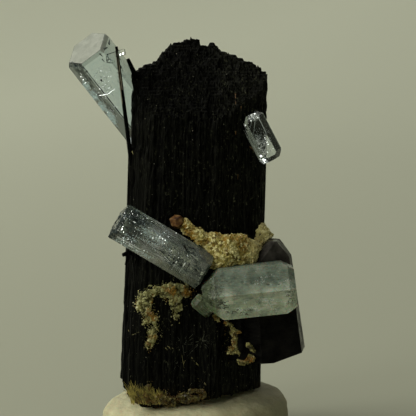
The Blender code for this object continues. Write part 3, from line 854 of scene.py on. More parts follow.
def beryl_planes(spec, inset=0.0):
    """The faces of a hexagonal prism with flat bevelled ends, moved in by inset."""
    length = crystal_length(spec)
    planes = [(UP * length, UP.copy()), (Vector(), Vector((0, 0, -1)))]
    for angle, flat in zip(spec["angles"], spec["flats"]):
        normal = face_normal(angle, 90)
        planes.append((normal * flat * MM, normal))
    planes.extend(bevel_planes(spec, "tip_bevels", length, True))
    planes.extend(bevel_planes(spec, "base_bevels", 0, False))
    return [(point - normal * inset, normal) for point, normal in planes]


def quartz_planes():
    planes = [(Vector(), Vector((0, 0, -1))), (UP * QUARTZ_HEIGHT, UP.copy())]
    for angle, distance, lean in QUARTZ_SIDES:
        planes.append((face_normal(angle, 90) * distance * MM, face_normal(angle, 90 - lean)))
    for angle, slope, height in QUARTZ_TIP:
        planes.append((Vector((0, 0, height * MM)), face_normal(angle, 90 - slope)))
    angle, slope, edge = QUARTZ_FOOT_CHAMFER
    planes.append((face_normal(angle, 90) * edge * MM, face_normal(angle, 180 - slope)))
    return planes


def garnet_planes():
    planes = []
    for k in range(4):
        planes.append(face_normal(90 * k + 45, 90))
        planes.append(face_normal(90 * k, 45))
        planes.append(face_normal(90 * k, 135))
    return [(normal * GARNET_RADIUS, normal) for normal in planes]


def facetted(name, reach, planes, matrix, edge, material, slot, node, end_material=None):
    """A crystal with its edges just broken, which stands for a node."""
    mesh_maker = cut_solid(reach, planes)
    bmesh.ops.bevel(
        mesh_maker, geom=mesh_maker.edges[:], offset=edge, segments=2, profile=0.6, affect="EDGES",
        clamp_overlap=True,
    )
    crystal = dressed(name, mesh_from(name, mesh_maker, matrix), material, slot)
    if end_material:
        frost_end(crystal.data, matrix.to_3x3() @ UP, end_material)
    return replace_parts(crystal, node)


def frost_end(mesh, axis, material):
    """Another material on the flat end and on the bevels that turn right from it."""
    mesh.materials.append(material)
    for polygon in mesh.polygons:
        facing = polygon.normal.dot(axis)
        if facing > 0.999 or facing > 0.3 and polygon.normal.x > 0.2:
            polygon.material_index = 1


# Putty

def putty_skin(material):
    """The putty with a finer outline and its dents."""
    mesh_maker = bmesh.new()
    bmesh.ops.create_uvsphere(
        mesh_maker, u_segments=PUTTY_SEGMENTS, v_segments=PUTTY_SEGMENTS // 2, radius=1
    )
    for vertex in mesh_maker.verts:
        x, y, z = vertex.co
        around = max(math.hypot(x, y), 1e-9)
        wide = min(1, around) ** PUTTY_SQUARENESS
        wobble = 1 + PUTTY_WOBBLE * noise.noise(Vector((2.2 * x / around, 2.2 * y / around, 5)))
        vertex.co.x = PUTTY_MIDDLE[0] * MM + PUTTY_HALF_WIDTH * wobble * wide * x / around
        vertex.co.y = PUTTY_MIDDLE[1] * MM + PUTTY_HALF_DEPTH * wobble * wide * y / around
        share = (1 + vertex.co.x / PUTTY_HALF_WIDTH) / 2
        top = PUTTY_TOP_LEFT + (PUTTY_TOP_RIGHT - PUTTY_TOP_LEFT) * share
        top += PUTTY_RISE_BACK * vertex.co.y
        reach = top - PUTTY_WAIST_Z if z > 0 else 2 * PUTTY_WAIST_Z
        level = math.copysign(abs(z) ** PUTTY_SQUARENESS, z)
        vertex.co.z = PUTTY_WAIST_Z + reach * level
        dent = noise.noise(vertex.co / DENT_WIDTH) + 0.7 * noise.noise(vertex.co / SMALL_DENT_WIDTH)
        pit = max(0, noise.noise(vertex.co / PIT_WIDTH) - 0.45) * 3
        vertex.co += Vector((x, y, z)) * DENT_DEPTH * (dent - pit - 0.7)
    everything = mesh_maker.verts[:] + mesh_maker.edges[:] + mesh_maker.faces[:]
    bmesh.ops.bisect_plane(
        mesh_maker, geom=everything, plane_co=(0, 0, 0), plane_no=(0, 0, -1), clear_outer=True
    )
    bmesh.ops.holes_fill(mesh_maker, edges=[e for e in mesh_maker.edges if e.is_boundary], sides=0)
    skin = dressed("putty_skin", mesh_from("putty_skin", mesh_maker), material, "putty", smooth=True)
    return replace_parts(skin, "display_putty")


# Mica, fibres and dust

def mica_plates(
    name, node, count, sizes, seed, material, clump=-1, sunk=0, lean=0.75, from_x=-math.inf
):
    """Joined plates of mica over a crust, in clumps where clump is high and sunk below its skin."""
    chance = random.Random(seed)
    heap = Heap()
    for place, normal in scattered(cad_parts[node].data, count, chance):
        if place.x < from_x * MM or noise.noise(place / CLUMP_WIDTH + UP * seed) < clump:
            continue
        upright = (normal + shake(chance) * lean).normalized()
        spin = any_turn(chance)
        radius = chance.uniform(*sizes) * MM
        centre = place - normal * (radius * 0.15 + chance.uniform(0, sunk) * MM)
        heap.plate(centre, upright, spin, radius, radius * chance.uniform(0.25, 0.55), chance)
    return heap.piece(name, material, "mica")


def spilled_grains(name, node, tree, count, spread, size, seed, material):
    """Loose grains on the column round a crust."""
    chance = random.Random(seed)
    heap = Heap()
    for place, _ in scattered(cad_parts[node].data, count, chance):
        x = place.x / MM + chance.gauss(0, spread)
        z = place.z / MM + chance.gauss(0, spread)
        spot, normal = face_of(tree, x, z)
        upright = (normal + 0.6 * shake(chance)).normalized()
        spin = any_turn(chance)
        radius = size * MM * chance.uniform(0.4, 1.5)
        heap.plate(spot, upright, spin, radius, radius * 0.6, chance, sides=5)
    return heap.piece(name, material, "mica")


def face_of(tree, x, z):
    """Where the column's front is met at this x and height, in mm, and the way it faces."""
    place, normal = met(tree, x, z)
    return (place, normal) if place else (mm((x, COLUMN_FRONT_Y, z)), VIEWER.copy())


def star_needles(tree, material):
    """Faint whitish needles that radiate on the column's lower front."""
    chance = random.Random(31)
    heap = Heap()
    for middle_x, middle_z, count, longest in STAR_NEEDLES:
        for _ in range(count):
            turn = any_turn(chance)
            start = chance.uniform(0.0, 1.0)
            end = start + chance.uniform(0.4, longest - 0.6)
            ends = []
            for reach in (start, end):
                x = middle_x + reach * math.cos(turn)
                z = middle_z + reach * math.sin(turn) * 0.8
                place, normal = face_of(tree, x, z)
                ends.append(place + normal * 0.04 * MM)
            heap.spike(ends[0], ends[1], chance.uniform(0.01, 0.028) * MM)
    return heap.piece("star_needles", material, "mica")


def fringe_fibres(tree, materials):
    """Olive and brown fibres that stand up from the base fringe."""
    chance = random.Random(32)
    for name, material, low_x, high_x, longest, count in (
        ("fringe_fibres_olive", materials[0], -8.4, -3.8, 2.9, 420),
        ("fringe_fibres_brown", materials[1], -7.6, 1.4, 1.1, 420),
    ):
        heap = Heap()
        for _ in range(count):
            x = chance.uniform(low_x, high_x)
            foot, normal = face_of(tree, x, chance.uniform(*FRINGE_FEET))
            fade = 1 - 0.6 * (x - low_x) / (high_x - low_x)
            length = chance.uniform(0.25, 1.0) * longest * fade * MM
            lean = chance.gauss(-0.25, 0.3)
            tip = foot + Vector((lean, 0, 1)).normalized() * length + normal * chance.uniform(0.3, 0.9) * MM
            heap.spike(foot + normal * 0.3 * MM, tip, chance.uniform(0.035, 0.08) * MM)
        heap.piece(name, material, "mica")


def column_dust(skin, material):
    """Pale specks caught on the striations."""
    chance = random.Random(33)
    heap = Heap()
    for place, normal in scattered(skin.data, 900, chance):
        upright = (normal + 0.5 * shake(chance)).normalized()
        spin = any_turn(chance)
        radius = 0.035 * MM * chance.uniform(0.5, 1.5) ** 2
        heap.plate(place, upright, spin, radius, radius * 0.5, chance, sides=5)
    return heap.piece("column_dust", material, "mica")


# Flakes and cracks

def tree_of(piece):
    mesh = piece.data
    return BVHTree.FromPolygons([v.co for v in mesh.vertices], [p.vertices for p in mesh.polygons])


def met(tree, x, z):
    """Where the viewer's line at this x and height, in mm, first meets a surface, and its normal."""
    place, normal, _, _ = tree.ray_cast(mm((x, RAY_START_Y, z)), AWAY)
    return place, normal


def inside(tree, x, z, depth):
    """A point this deep below the face that the viewer meets at x and z, in mm."""
    place, _ = met(tree, x, z)
    if not place:
        place, _, _, _ = tree.find_nearest(mm((x, CRYSTALS_FRONT_Y, z)))
    return place + Vector((0, depth * MM, 0))


def glint_normal(face):
    """The tilt at which a crack sends the lamp on the open side of its face back to the viewer."""
    key = Vector(KEY_PLACE).normalized()
    lamp = key if face.dot(key) > 0.1 else Vector(FILL_PLACE).normalized()
    return (lamp + Vector((0, -1, 0.09))).normalized()


def streaks(tree, rows):
    """Thin straight marks below a face, cracks, fibres and painted light and shade: x and z of both ends,
    depth and width, in mm.
    """
    heap = Heap()
    for x0, z0, x1, z1, depth, width in rows:
        ends = [inside(tree, x, z, depth) for x, z in ((x0, z0), (x1, z1))]
        for end in ends:
            end.y = max(end.y, FRONT_LIMIT + width / 2 * MM)
        heap.spike(ends[0], ends[1], width / 2 * MM)
    return heap


class Crystal:
    """An aquamarine that flakes and cracks are laid in and on, each kind as a piece of its own."""

    def __init__(self, node, tree, slot, looks):
        self.spec = AQUAMARINES[node]
        self.side = node.replace("aquamarine_", "")
        self.tree = tree
        self.slot = slot
        self.looks = looks

    def piece(self, heap, kind, look):
        heap.piece(f"{kind}_{self.side}", self.looks[look], self.slot)

    def flakes(self, kind, look, seed, clouds):
        """Clouds of tiny flakes inside: x, z, depth, spread, count and size of each, in mm."""
        chance = random.Random(seed)
        to_local = crystal_frame(self.spec).inverted()
        planes = beryl_planes(self.spec, inset=SKIN_OVER_FLAKES)
        heap = Heap()
        for x, z, depth, spread, count, size in clouds:
            centre = inside(self.tree, x, z, depth)
            for _ in range(count):
                place = centre + Vector([chance.gauss(0, s) * MM for s in spread])
                local = to_local @ place
                if any((local - point).dot(normal) > 0 for point, normal in planes):
                    continue
                upright = shake(chance).normalized()
                spin = any_turn(chance)
                radius = size * MM * chance.uniform(0.4, 1.5)
                heap.plate(place, upright, spin, radius, radius * 0.2, chance, sides=5)
        self.piece(heap, kind, look)

    def frost(self, kind, look, seed, patches, shining=False):
        """Etched flakes on the faces, in short rows: x, z, spread along both, count and size, in mm."""
        chance = random.Random(seed)
        growth = (mm(self.spec["tip"]) - mm(self.spec["base"])).normalized()
        heap = Heap()
        for x, z, spread_x, spread_z, count, size in patches:
            for index in range(count):
                if shining or index % FLAKES_IN_ROW == 0:
                    middle = mm((chance.gauss(x, spread_x), 0, chance.gauss(z, spread_z)))
                start = middle + growth * chance.gauss(0, 0.3) * MM
                start += Vector((chance.gauss(0, 0.05), 0, chance.gauss(0, 0.05))) * MM
                start.y = RAY_START_Y * MM
                place, normal, _, _ = self.tree.ray_cast(start, AWAY)
                radius = size * MM * chance.uniform(0.3, 1.5)
                if not place or place.y - radius < FRONT_LIMIT or place.x - radius < LEFT_LIMIT:
                    continue
                upright = glint_normal(normal) if shining else normal
                upright = (upright + 0.22 * shake(chance)).normalized()
                spin = any_turn(chance)
                heap.plate(place, upright, spin, radius, FLAKE_THICKNESS, chance, sides=5)
        self.piece(heap, kind, look)

    def streaks(self, kind, look, rows):
        self.piece(streaks(self.tree, rows), kind, look)

    def crack_lights(self, seed, rows):
        """Small cracks in the faces that throw a lamp's light back: x, z and size, in mm."""
        chance = random.Random(seed)
        heap = Heap()
        for x, z, size in rows:
            place, normal = met(self.tree, x, z)
            if not place or place.y - size * MM < FRONT_LIMIT:
                continue
            upright = (glint_normal(normal) + 0.04 * shake(chance)).normalized()
            heap.plate(place, upright, any_turn(chance), size * MM, CRACK_THICKNESS, chance, sides=5)
        self.piece(heap, "crack_lights", "bright")


def dress_upper_left(crystal):
    """Frost, cracks and dark bars of the large clear crystal at the upper left."""
    crystal.flakes("frost", "white", 40, (
        (-11.8, 48.8, 0.5, (0.8, 0.2, 0.8), 320, 0.03), (-12.2, 46.6, 0.5, (0.7, 0.2, 0.6), 320, 0.03),
        (-11.0, 44.5, 1.0, (0.8, 0.6, 1.1), 200, 0.03), (-14.9, 47.9, 0.4, (0.25, 0.2, 0.35), 90, 0.05),
    ))
    crystal.streaks("cracks", "white", (
        (-12.8, 45.7, -11.6, 46.0, 0.3, 0.14), (-11.6, 46.0, -10.5, 46.7, 0.3, 0.1),
        (-12.0, 45.3, -11.0, 45.5, 0.4, 0.05), (-14.2, 47.0, -10.9, 42.6, 0.3, 0.07),
        (-15.3, 49.0, -14.3, 47.5, 0.2, 0.06), (-12.6, 48.9, -11.9, 48.6, 0.4, 0.05),
        (-11.3, 49.6, -10.9, 48.4, 0.4, 0.06),
    ))
    crystal.streaks("shades", "shade", (
        (-14.0, 47.3, -13.4, 46.4, 0.3, 0.3), (-13.4, 46.5, -12.8, 45.7, 0.3, 0.3),
        (-12.7, 45.8, -11.9, 44.7, 0.3, 0.35), (-12.0, 44.9, -11.2, 43.9, 0.3, 0.3),
        (-11.3, 44.1, -10.5, 43.0, 0.3, 0.35),
    ))
    crystal.streaks("speck", "shade", ((-12.4, 47.84, -12.24, 47.6, -0.04, 0.36),))
    crystal.crack_lights(46, (
        (-12.7, 45.7, 0.09), (-12.5, 45.73, 0.12), (-12.3, 45.75, 0.11), (-12.1, 45.8, 0.12),
        (-11.9, 45.83, 0.11), (-11.7, 45.85, 0.09), (-11.5, 45.95, 0.1), (-11.3, 46.1, 0.09),
        (-12.0, 45.85, 0.09), (-11.8, 45.9, 0.1), (-11.4, 46.0, 0.09), (-11.2, 46.15, 0.09),
        (-11.6, 45.9, 0.09), (-11.1, 46.25, 0.1), (-10.9, 46.4, 0.09), (-10.7, 46.55, 0.09),
        (-12.9, 49.2, 0.07), (-11.7, 48.8, 0.06), (-11.1, 48.3, 0.07), (-12.0, 48.3, 0.05),
        (-11.4, 47.6, 0.05), (-11.9, 47.2, 0.06), (-12.5, 46.8, 0.05), (-11.3, 46.8, 0.05),
        (-12.1, 46.4, 0.05), (-15.1, 48.2, 0.12), (-14.8, 47.8, 0.12), (-14.5, 47.4, 0.1),
        (-13.0, 47.9, 0.05), (-10.9, 43.6, 0.07), (-10.5, 42.9, 0.07), (-12.4, 49.0, 0.05),
        (-13.9, 46.0, 0.06),
    ))
    crystal.frost("etching", "white", 47, (
        (-12.1, 46.5, 0.6, 0.5, 40, 0.05), (-9.7, 47.5, 0.25, 1.5, 160, 0.06),
    ))
    crystal.frost("blue_frost", "icy", 66, (
        (-14.4, 46.9, 0.2, 0.3, 260, 0.08), (-13.4, 45.6, 0.2, 0.35, 380, 0.08),
        (-12.4, 44.1, 0.2, 0.4, 400, 0.08), (-11.5, 42.9, 0.25, 0.4, 360, 0.08),
        (-10.9, 42.1, 0.2, 0.35, 220, 0.08),
    ))
    crystal.frost("glitter", "bright", 61, (
        (-12.2, 48.6, 0.6, 0.6, 70, 0.045), (-12.0, 46.7, 0.6, 0.5, 110, 0.045),
        (-11.2, 46.2, 0.4, 0.25, 50, 0.05), (-14.9, 48.0, 0.2, 0.25, 16, 0.08),
        (-12.2, 43.9, 0.9, 1.0, 26, 0.06), (-11.0, 43.4, 0.3, 0.3, 10, 0.07),
    ), shining=True)
    crystal.frost("shaded_flakes", "grey", 62, (
        (-16.0, 49.6, 0.2, 0.12, 60, 0.15), (-15.3, 49.2, 0.25, 0.2, 90, 0.15),
        (-14.7, 48.6, 0.2, 0.2, 90, 0.14), (-14.1, 47.9, 0.15, 0.2, 70, 0.12),
        (-13.6, 46.9, 0.1, 0.25, 60, 0.09), (-12.6, 45.5, 0.1, 0.3, 70, 0.09),
        (-11.5, 44.2, 0.1, 0.3, 70, 0.09), (-10.7, 43.2, 0.1, 0.25, 50, 0.09),
        (-9.9, 49.3, 0.12, 0.5, 60, 0.09),
    ))
    crystal.streaks("bars", "grey", (
        (-11.35, 52.5, -11.3, 53.1, 0, 0.42), (-12.0, 51.9, -11.5, 52.1, 0, 0.4),
        (-12.5, 51.3, -12.1, 50.9, 0, 0.3), (-12.2, 50.6, -11.9, 50.2, 0, 0.2),
    ))


def dress_upper_right(crystal):
    """Frost and cracks of the small crystal on the right edge."""
    crystal.flakes("frost", "white", 42, (
        (8.5, 39.6, 0.7, (0.6, 0.4, 0.8), 520, 0.05), (7.7, 43.0, 0.35, (0.35, 0.2, 0.2), 240, 0.06),
        (9.7, 38.4, 0.5, (0.3, 0.3, 0.6), 160, 0.045),
    ))
    crystal.streaks("cracks", "white", (
        (7.3, 43.1, 6.8, 41.8, 0.2, 0.09), (7.6, 43.1, 7.3, 41.4, 0.25, 0.08),
        (8.0, 42.8, 7.7, 40.6, 0.3, 0.14), (8.4, 42.9, 9.6, 40.4, 0.2, 0.12),
        (6.7, 41.4, 8.0, 38.6, 0.2, 0.1), (7.2, 40.3, 8.4, 38.2, 0.3, 0.07),
        (9.7, 40.0, 10.4, 38.6, 0.2, 0.1),
    ))
    crystal.crack_lights(43, (
        (8.8, 37.9, 0.3), (9.15, 37.45, 0.32), (8.75, 37.45, 0.22), (9.3, 37.1, 0.2), (9.2, 40.3, 0.1),
        (9.3, 40.1, 0.08), (9.5, 39.7, 0.1), (9.65, 39.4, 0.1), (6.7, 41.9, 0.12), (9.6, 38.4, 0.07),
        (7.9, 43.4, 0.1), (8.3, 42.9, 0.08), (8.5, 38.9, 0.06), (7.4, 42.5, 0.06), (10.3, 38.9, 0.07),
    ))
    crystal.frost("etching", "white", 50, (
        (7.8, 43.2, 0.35, 0.2, 160, 0.05), (8.6, 39.3, 0.45, 0.5, 160, 0.04),
        (9.4, 38.2, 0.35, 0.4, 130, 0.045), (9.6, 40.4, 0.25, 0.7, 130, 0.04),
        (6.9, 41.6, 0.15, 0.5, 80, 0.04),
    ))


def dress_middle_left(crystal):
    """Clouds, cracks, dark inclusions, painted edge highlights and painted shade of the crystal from the
    left.
    """
    crystal.flakes("frost", "white", 41, (
        (-5.6, 28.3, 0.9, (0.8, 0.4, 0.7), 2600, 0.045), (-4.2, 27.0, 0.9, (0.8, 0.4, 0.7), 1900, 0.045),
        (-2.2, 25.8, 0.8, (1.1, 0.4, 0.9), 800, 0.04), (-0.5, 24.2, 0.8, (0.9, 0.4, 0.9), 600, 0.04),
        (-7.6, 30.4, 0.6, (0.8, 0.3, 0.4), 300, 0.04),
    ))
    # Painted highlights: rows one and two, on the lower edge near the left end, and rows five and six, on the
    # upper edge.
    crystal.streaks("cracks", "white", (
        (-10.0, 27.75, -8.4, 26.85, -0.14, 0.2), (-8.4, 26.85, -7.1, 26.1, -0.14, 0.2),
        (-9.7, 28.4, -8.6, 30.3, 0, 0.05), (-8.6, 26.6, -7.8, 26.15, -0.1, 0.3),
        (-9.0, 31.6, -6.6, 30.4, 0, 0.07), (-6.6, 30.4, -4.4, 29.2, 0, 0.06),
        (-8.2, 30.9, -7.4, 29.9, 0, 0.05), (-7.4, 29.9, -6.9, 29.6, 0, 0.05),
        (-7.9, 27.3, -7.3, 28.3, 0, 0.05), (-2.3, 24.5, -3.0, 23.3, -0.14, 0.2),
        (-1.2, 24.3, -2.0, 23.0, -0.14, 0.2), (-3.9, 25.2, -3.2, 24.4, -0.1, 0.09),
        (-0.4, 25.4, 0.5, 24.6, 0, 0.07), (-4.9, 25.4, -2.8, 24.1, 0, 0.05),
        (-3.4, 28.0, -1.6, 27.0, 0, 0.05),
    ))
    # Painted shade: the last three rows darken the outline of the clear left end.
    crystal.streaks("shades", "shade", (
        (-1.35, 26.5, -0.95, 25.8, -0.18, 0.36), (-0.9, 26.3, 0.1, 26.0, -0.14, 0.14),
        (-2.7, 24.4, -3.4, 23.4, -0.12, 0.2), (-1.7, 24.1, -2.4, 23.0, -0.12, 0.2),
        (-4.4, 25.9, -3.8, 25.4, -0.1, 0.14), (-0.6, 24.2, -1.2, 23.2, -0.1, 0.14),
        (0.1, 23.5, 0.7, 22.9, 0, 0.14), (-3.3, 26.6, -2.7, 26.2, 0, 0.08),
        (-6.1, 26.7, -5.5, 26.4, 0, 0.08), (-2.2, 27.0, -1.9, 26.7, 0, 0.09),
        (-5.6, 29.4, -5.1, 29.1, 0, 0.07), (-7.0, 27.4, -6.6, 27.0, 0, 0.07),
        (-11.3, 27.7, -10.4, 29.3, 0, 0.14), (-10.4, 29.3, -9.5, 30.9, 0, 0.12),
        (-9.5, 30.9, -9.0, 31.6, 0, 0.09),
    ))
    crystal.crack_lights(44, (
        (-4.1, 27.5, 0.11), (-4.5, 27.75, 0.08), (-3.8, 27.3, 0.08), (-3.9, 26.9, 0.06), (-5.4, 27.6, 0.07),
        (-6.9, 28.2, 0.06), (-9.6, 27.5, 0.1), (-9.3, 27.35, 0.08), (-8.8, 27.05, 0.08),
        (-8.2, 26.75, 0.08), (-7.5, 26.35, 0.08), (-2.4, 28.0, 0.06), (-8.2, 31.0, 0.07),
        (-6.2, 30.0, 0.07), (-5.0, 29.3, 0.06), (-9.4, 28.8, 0.16), (-9.3, 29.1, 0.14), (-9.2, 28.4, 0.08),
        (-3.0, 25.9, 0.05), (-0.9, 25.2, 0.05), (-7.4, 30.5, 0.06),
    ))
    crystal.frost("etching", "icy", 48, (
        (-5.7, 28.4, 0.8, 0.7, 460, 0.045), (-4.3, 27.3, 0.8, 0.7, 400, 0.045),
        (-7.6, 30.3, 0.9, 0.4, 160, 0.05), (-8.6, 27.3, 0.5, 0.3, 160, 0.05),
        (-9.8, 27.1, 0.3, 0.15, 110, 0.05), (-8.6, 26.4, 0.4, 0.15, 150, 0.05),
        (-7.4, 25.8, 0.4, 0.15, 130, 0.05), (-6.2, 25.1, 0.4, 0.15, 110, 0.05),
    ))
    crystal.frost("green_frost", "glassy", 67, (
        (-5.3, 28.3, 0.7, 0.6, 200, 0.05), (-2.3, 25.8, 0.9, 0.7, 220, 0.05),
        (-0.4, 24.3, 0.7, 0.7, 200, 0.05), (-3.9, 25.3, 1.2, 0.4, 160, 0.05),
        (0.8, 23.2, 0.3, 0.5, 80, 0.05),
    ))
    crystal.frost("glitter", "bright", 63, (
        (-4.5, 27.7, 0.5, 0.3, 36, 0.07), (-7.6, 30.0, 0.9, 0.7, 44, 0.06),
        (-8.7, 27.3, 0.6, 0.5, 34, 0.06), (-3.0, 25.4, 1.0, 0.6, 22, 0.05),
        (-5.8, 29.3, 0.9, 0.5, 30, 0.05), (-9.2, 26.8, 0.5, 0.15, 24, 0.06),
        (-7.2, 25.7, 0.7, 0.15, 24, 0.06),
    ), shining=True)
    crystal.frost("shaded_flakes", "deep", 64, (
        (-7.7, 30.3, 0.45, 0.35, 300, 0.11), (-6.9, 29.6, 0.4, 0.4, 220, 0.1),
        (-8.1, 28.7, 0.3, 0.4, 140, 0.09), (-2.6, 24.6, 0.8, 0.5, 140, 0.08),
        (-0.8, 25.6, 0.5, 0.3, 110, 0.08), (0.3, 23.7, 0.3, 0.4, 90, 0.08),
        (-3.9, 26.0, 0.8, 0.3, 90, 0.07), (-6.2, 27.4, 0.5, 0.3, 70, 0.07),
        (-10.7, 28.7, 0.3, 0.4, 260, 0.12), (-9.9, 30.2, 0.3, 0.4, 260, 0.12),
        (-9.4, 31.2, 0.25, 0.3, 160, 0.11), (-11.2, 27.8, 0.25, 0.2, 120, 0.1),
    ))


def dress_lower_right(crystal):
    """Etching of the largest crystal, and the shade at its left end."""
    crystal.frost("etching", "white", 49, (
        (5.5, 19.6, 1.2, 0.3, 90, 0.035), (8.6, 22.2, 0.5, 0.3, 40, 0.04), (9.8, 19.4, 0.8, 0.4, 160, 0.05),
        (8.0, 18.4, 1.6, 0.25, 160, 0.05), (12.2, 20.6, 0.3, 0.9, 120, 0.045),
    ))
    crystal.frost("shaded_flakes", "moss", 65, (
        (2.7, 20.6, 0.4, 0.6, 260, 0.11), (2.9, 19.0, 0.5, 0.4, 200, 0.11),
        (3.2, 21.8, 0.3, 0.3, 120, 0.09), (6.0, 18.0, 1.6, 0.2, 90, 0.09), (9.5, 22.0, 1.4, 0.3, 80, 0.08),
        (12.4, 20.0, 0.2, 0.9, 70, 0.08),
    ))
    crystal.frost("shaded_end", "matt", 68, (
        (1.5, 20.4, 0.25, 0.6, 300, 0.13), (1.4, 19.5, 0.3, 0.4, 200, 0.13),
        (2.0, 21.2, 0.25, 0.3, 100, 0.11),
    ))


def needle_chips(clear, looks):
    """The clear chips in front of the upper left crystal, beside the black needle."""
    chips = Heap()
    chips.spike(mm((-11.7, -5.1, 50.8)), mm((-9.2, -5.3, 51.6)), 0.46 * MM, sides=4, tip_share=0.9)
    chips.spike(mm((-11.6, -5.2, 50.3)), mm((-10.6, -5.3, 50.2)), 0.28 * MM, sides=4, tip_share=0.8)
    chips.piece("needle_chips", clear, "aquamarine")
    # Painted shade: dark spikes along the chips' edges stand for the dark outlines of the clear glass.
    edges = Heap()
    for x0, z0, x1, z1 in (
        (-11.6, 50.3, -11.7, 51.1), (-11.7, 51.1, -9.4, 51.9), (-9.2, 51.1, -9.2, 51.9),
        (-10.4, 50.9, -9.3, 51.2), (-11.6, 50.2, -10.8, 50.0),
    ):
        edges.spike(mm((x0, -5.6, z0)), mm((x1, -5.7, z1)), 0.08 * MM)
    edges.piece("chip_edges", looks["shade"], "aquamarine")
    lights = Heap()
    chance = random.Random(45)
    facing = glint_normal(Vector((-1, 0, 0)))
    for x, z, size in ((-9.45, 51.3, 0.22), (-9.8, 51.15, 0.18), (-11.4, 50.5, 0.17), (-11.0, 50.4, 0.12)):
        spin = any_turn(chance)
        lights.plate(mm((x, -5.72, z)), facing, spin, size * MM, 0.03 * MM, chance, sides=5)
    lights.piece("chip_lights", looks["bright"], "aquamarine")


def stain_spots(tree, looks):
    """Rusty streaks and pale grains on the column's front."""
    rusty = streaks(tree, (
        (5.4, 45.9, 5.4, 44.6, -0.03, 0.18), (6.1, 44.4, 6.1, 43.7, -0.03, 0.13),
        (5.4, 41.1, 5.4, 40.6, -0.03, 0.12), (5.7, 35.4, 5.7, 34.7, -0.03, 0.12),
        (7.3, 39.0, 8.1, 38.1, -0.05, 0.2), (-8.2, 50.2, -8.0, 49.4, -0.03, 0.2),
    ))
    rusty.piece("rust_streaks", looks["rust"], "tourmaline")
    grains = streaks(tree, (
        (-8.35, 38.3, -8.2, 37.9, -0.03, 0.2), (-1.7, 11.5, -1.4, 9.8, -0.02, 0.06),
        (-1.5, 10.3, -1.2, 10.9, -0.02, 0.05), (-0.4, 11.2, 0.3, 10.2, -0.02, 0.09),
        (0.2, 10.5, 0.5, 10.1, -0.02, 0.08), (1.3, 7.9, 1.5, 7.5, -0.02, 0.1),
        (-3.9, 12.5, -3.6, 12.2, -0.02, 0.09), (-3.4, 12.6, -3.2, 12.3, -0.02, 0.08),
        (-3.0, 12.5, -2.8, 12.4, -0.02, 0.09), (-3.6, 12.7, -3.3, 12.6, -0.02, 0.06),
        (-5.9, 12.5, -5.2, 13.6, -0.02, 0.05), (-8.9, 14.4, -8.0, 13.2, -0.02, 0.05),
        (-8.4, 13.9, -7.2, 14.6, -0.02, 0.04), (6.6, 24.0, 6.9, 23.2, -0.02, 0.08),
    ))
    grains.piece("pale_streaks", looks["pale"], "mica")


# Studio

def make_camera():
    data = bpy.data.cameras.new("camera")
    data.sensor_width = SENSOR_WIDTH
    data.lens = SENSOR_WIDTH * CAMERA_DISTANCE / PHOTO_WIDTH_AT_TARGET
    data.clip_start = 0.01
    data.clip_end = 20
    camera = linked("camera", data)
    tilt = math.radians(CAMERA_ELEVATION)
    back = Vector((0, -math.cos(tilt), math.sin(tilt)))
    camera.location = mm(CAMERA_TARGET) + back * CAMERA_DISTANCE
    camera.rotation_euler = (-back).to_track_quat("-Z", "Y").to_euler()
    bpy.context.scene.camera = camera


def make_floor():
    """A pale floor that is flat round the specimen and curves up far away on every side."""
    look = Shader("floor_paper", roughness=0.85, Specular_IOR_Level=0.1)
    # Painted light: the floor's colour is lighter towards the left and back and darker towards the front and
    # right.
    away = look.node("VectorMath", operation="DOT_PRODUCT")
    look.link(look.place, away.inputs[0])
    away.inputs[1].default_value = FLOOR_PAINTED_LIGHT_SIDE
    look.colour(look.ramp(look.math("ADD", away.outputs["Value"], 0.3), [
        (0.0, (0.22, 0.23, 0.18)), (0.3, (0.46, 0.475, 0.372)), (0.7, (0.79, 0.82, 0.665)),
    ]))
    look.bump(look.noise(0.5, detail=4), 0.1, 0.02)
    points = [Vector()]
    for k in range(1, FLOOR_RINGS + 1):
        radius = FLOOR_RADIUS * k / FLOOR_RINGS
        climb = max(0, (radius - FLOOR_FLAT_RADIUS) / (FLOOR_RADIUS - FLOOR_FLAT_RADIUS))
        for t in range(FLOOR_SIDES):
            turn = 2 * math.pi * t / FLOOR_SIDES
            points.append(Vector((radius * math.cos(turn), radius * math.sin(turn), FLOOR_RISE * climb ** 2)))
    faces = [(0, 1 + t, 1 + (t + 1) % FLOOR_SIDES) for t in range(FLOOR_SIDES)]
    for k in range(FLOOR_RINGS - 1):
        a, b = 1 + k * FLOOR_SIDES, 1 + (k + 1) * FLOOR_SIDES
        for t in range(FLOOR_SIDES):
            m = (t + 1) % FLOOR_SIDES
            faces.append((a + t, b + t, b + m, a + m))
    mesh = bpy.data.meshes.new("floor")
    mesh.from_pydata(points, [], faces)
    mesh.materials.append(look.material)
    for polygon in mesh.polygons:
        polygon.use_smooth = True
    linked("floor", mesh)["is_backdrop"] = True


def make_light(name, place, size, power, target=(0, 0, 0.027)):
    data = bpy.data.lights.new(name, "AREA")
    data.shape = "RECTANGLE"
    data.size, data.size_y = size
    data.energy = power
    data.color = LIGHT_TINT
    lamp = linked(name, data)
    lamp.location = place
    lamp.rotation_euler = (Vector(target) - Vector(place)).to_track_quat("-Z", "Y").to_euler()
    lamp.visible_camera = False


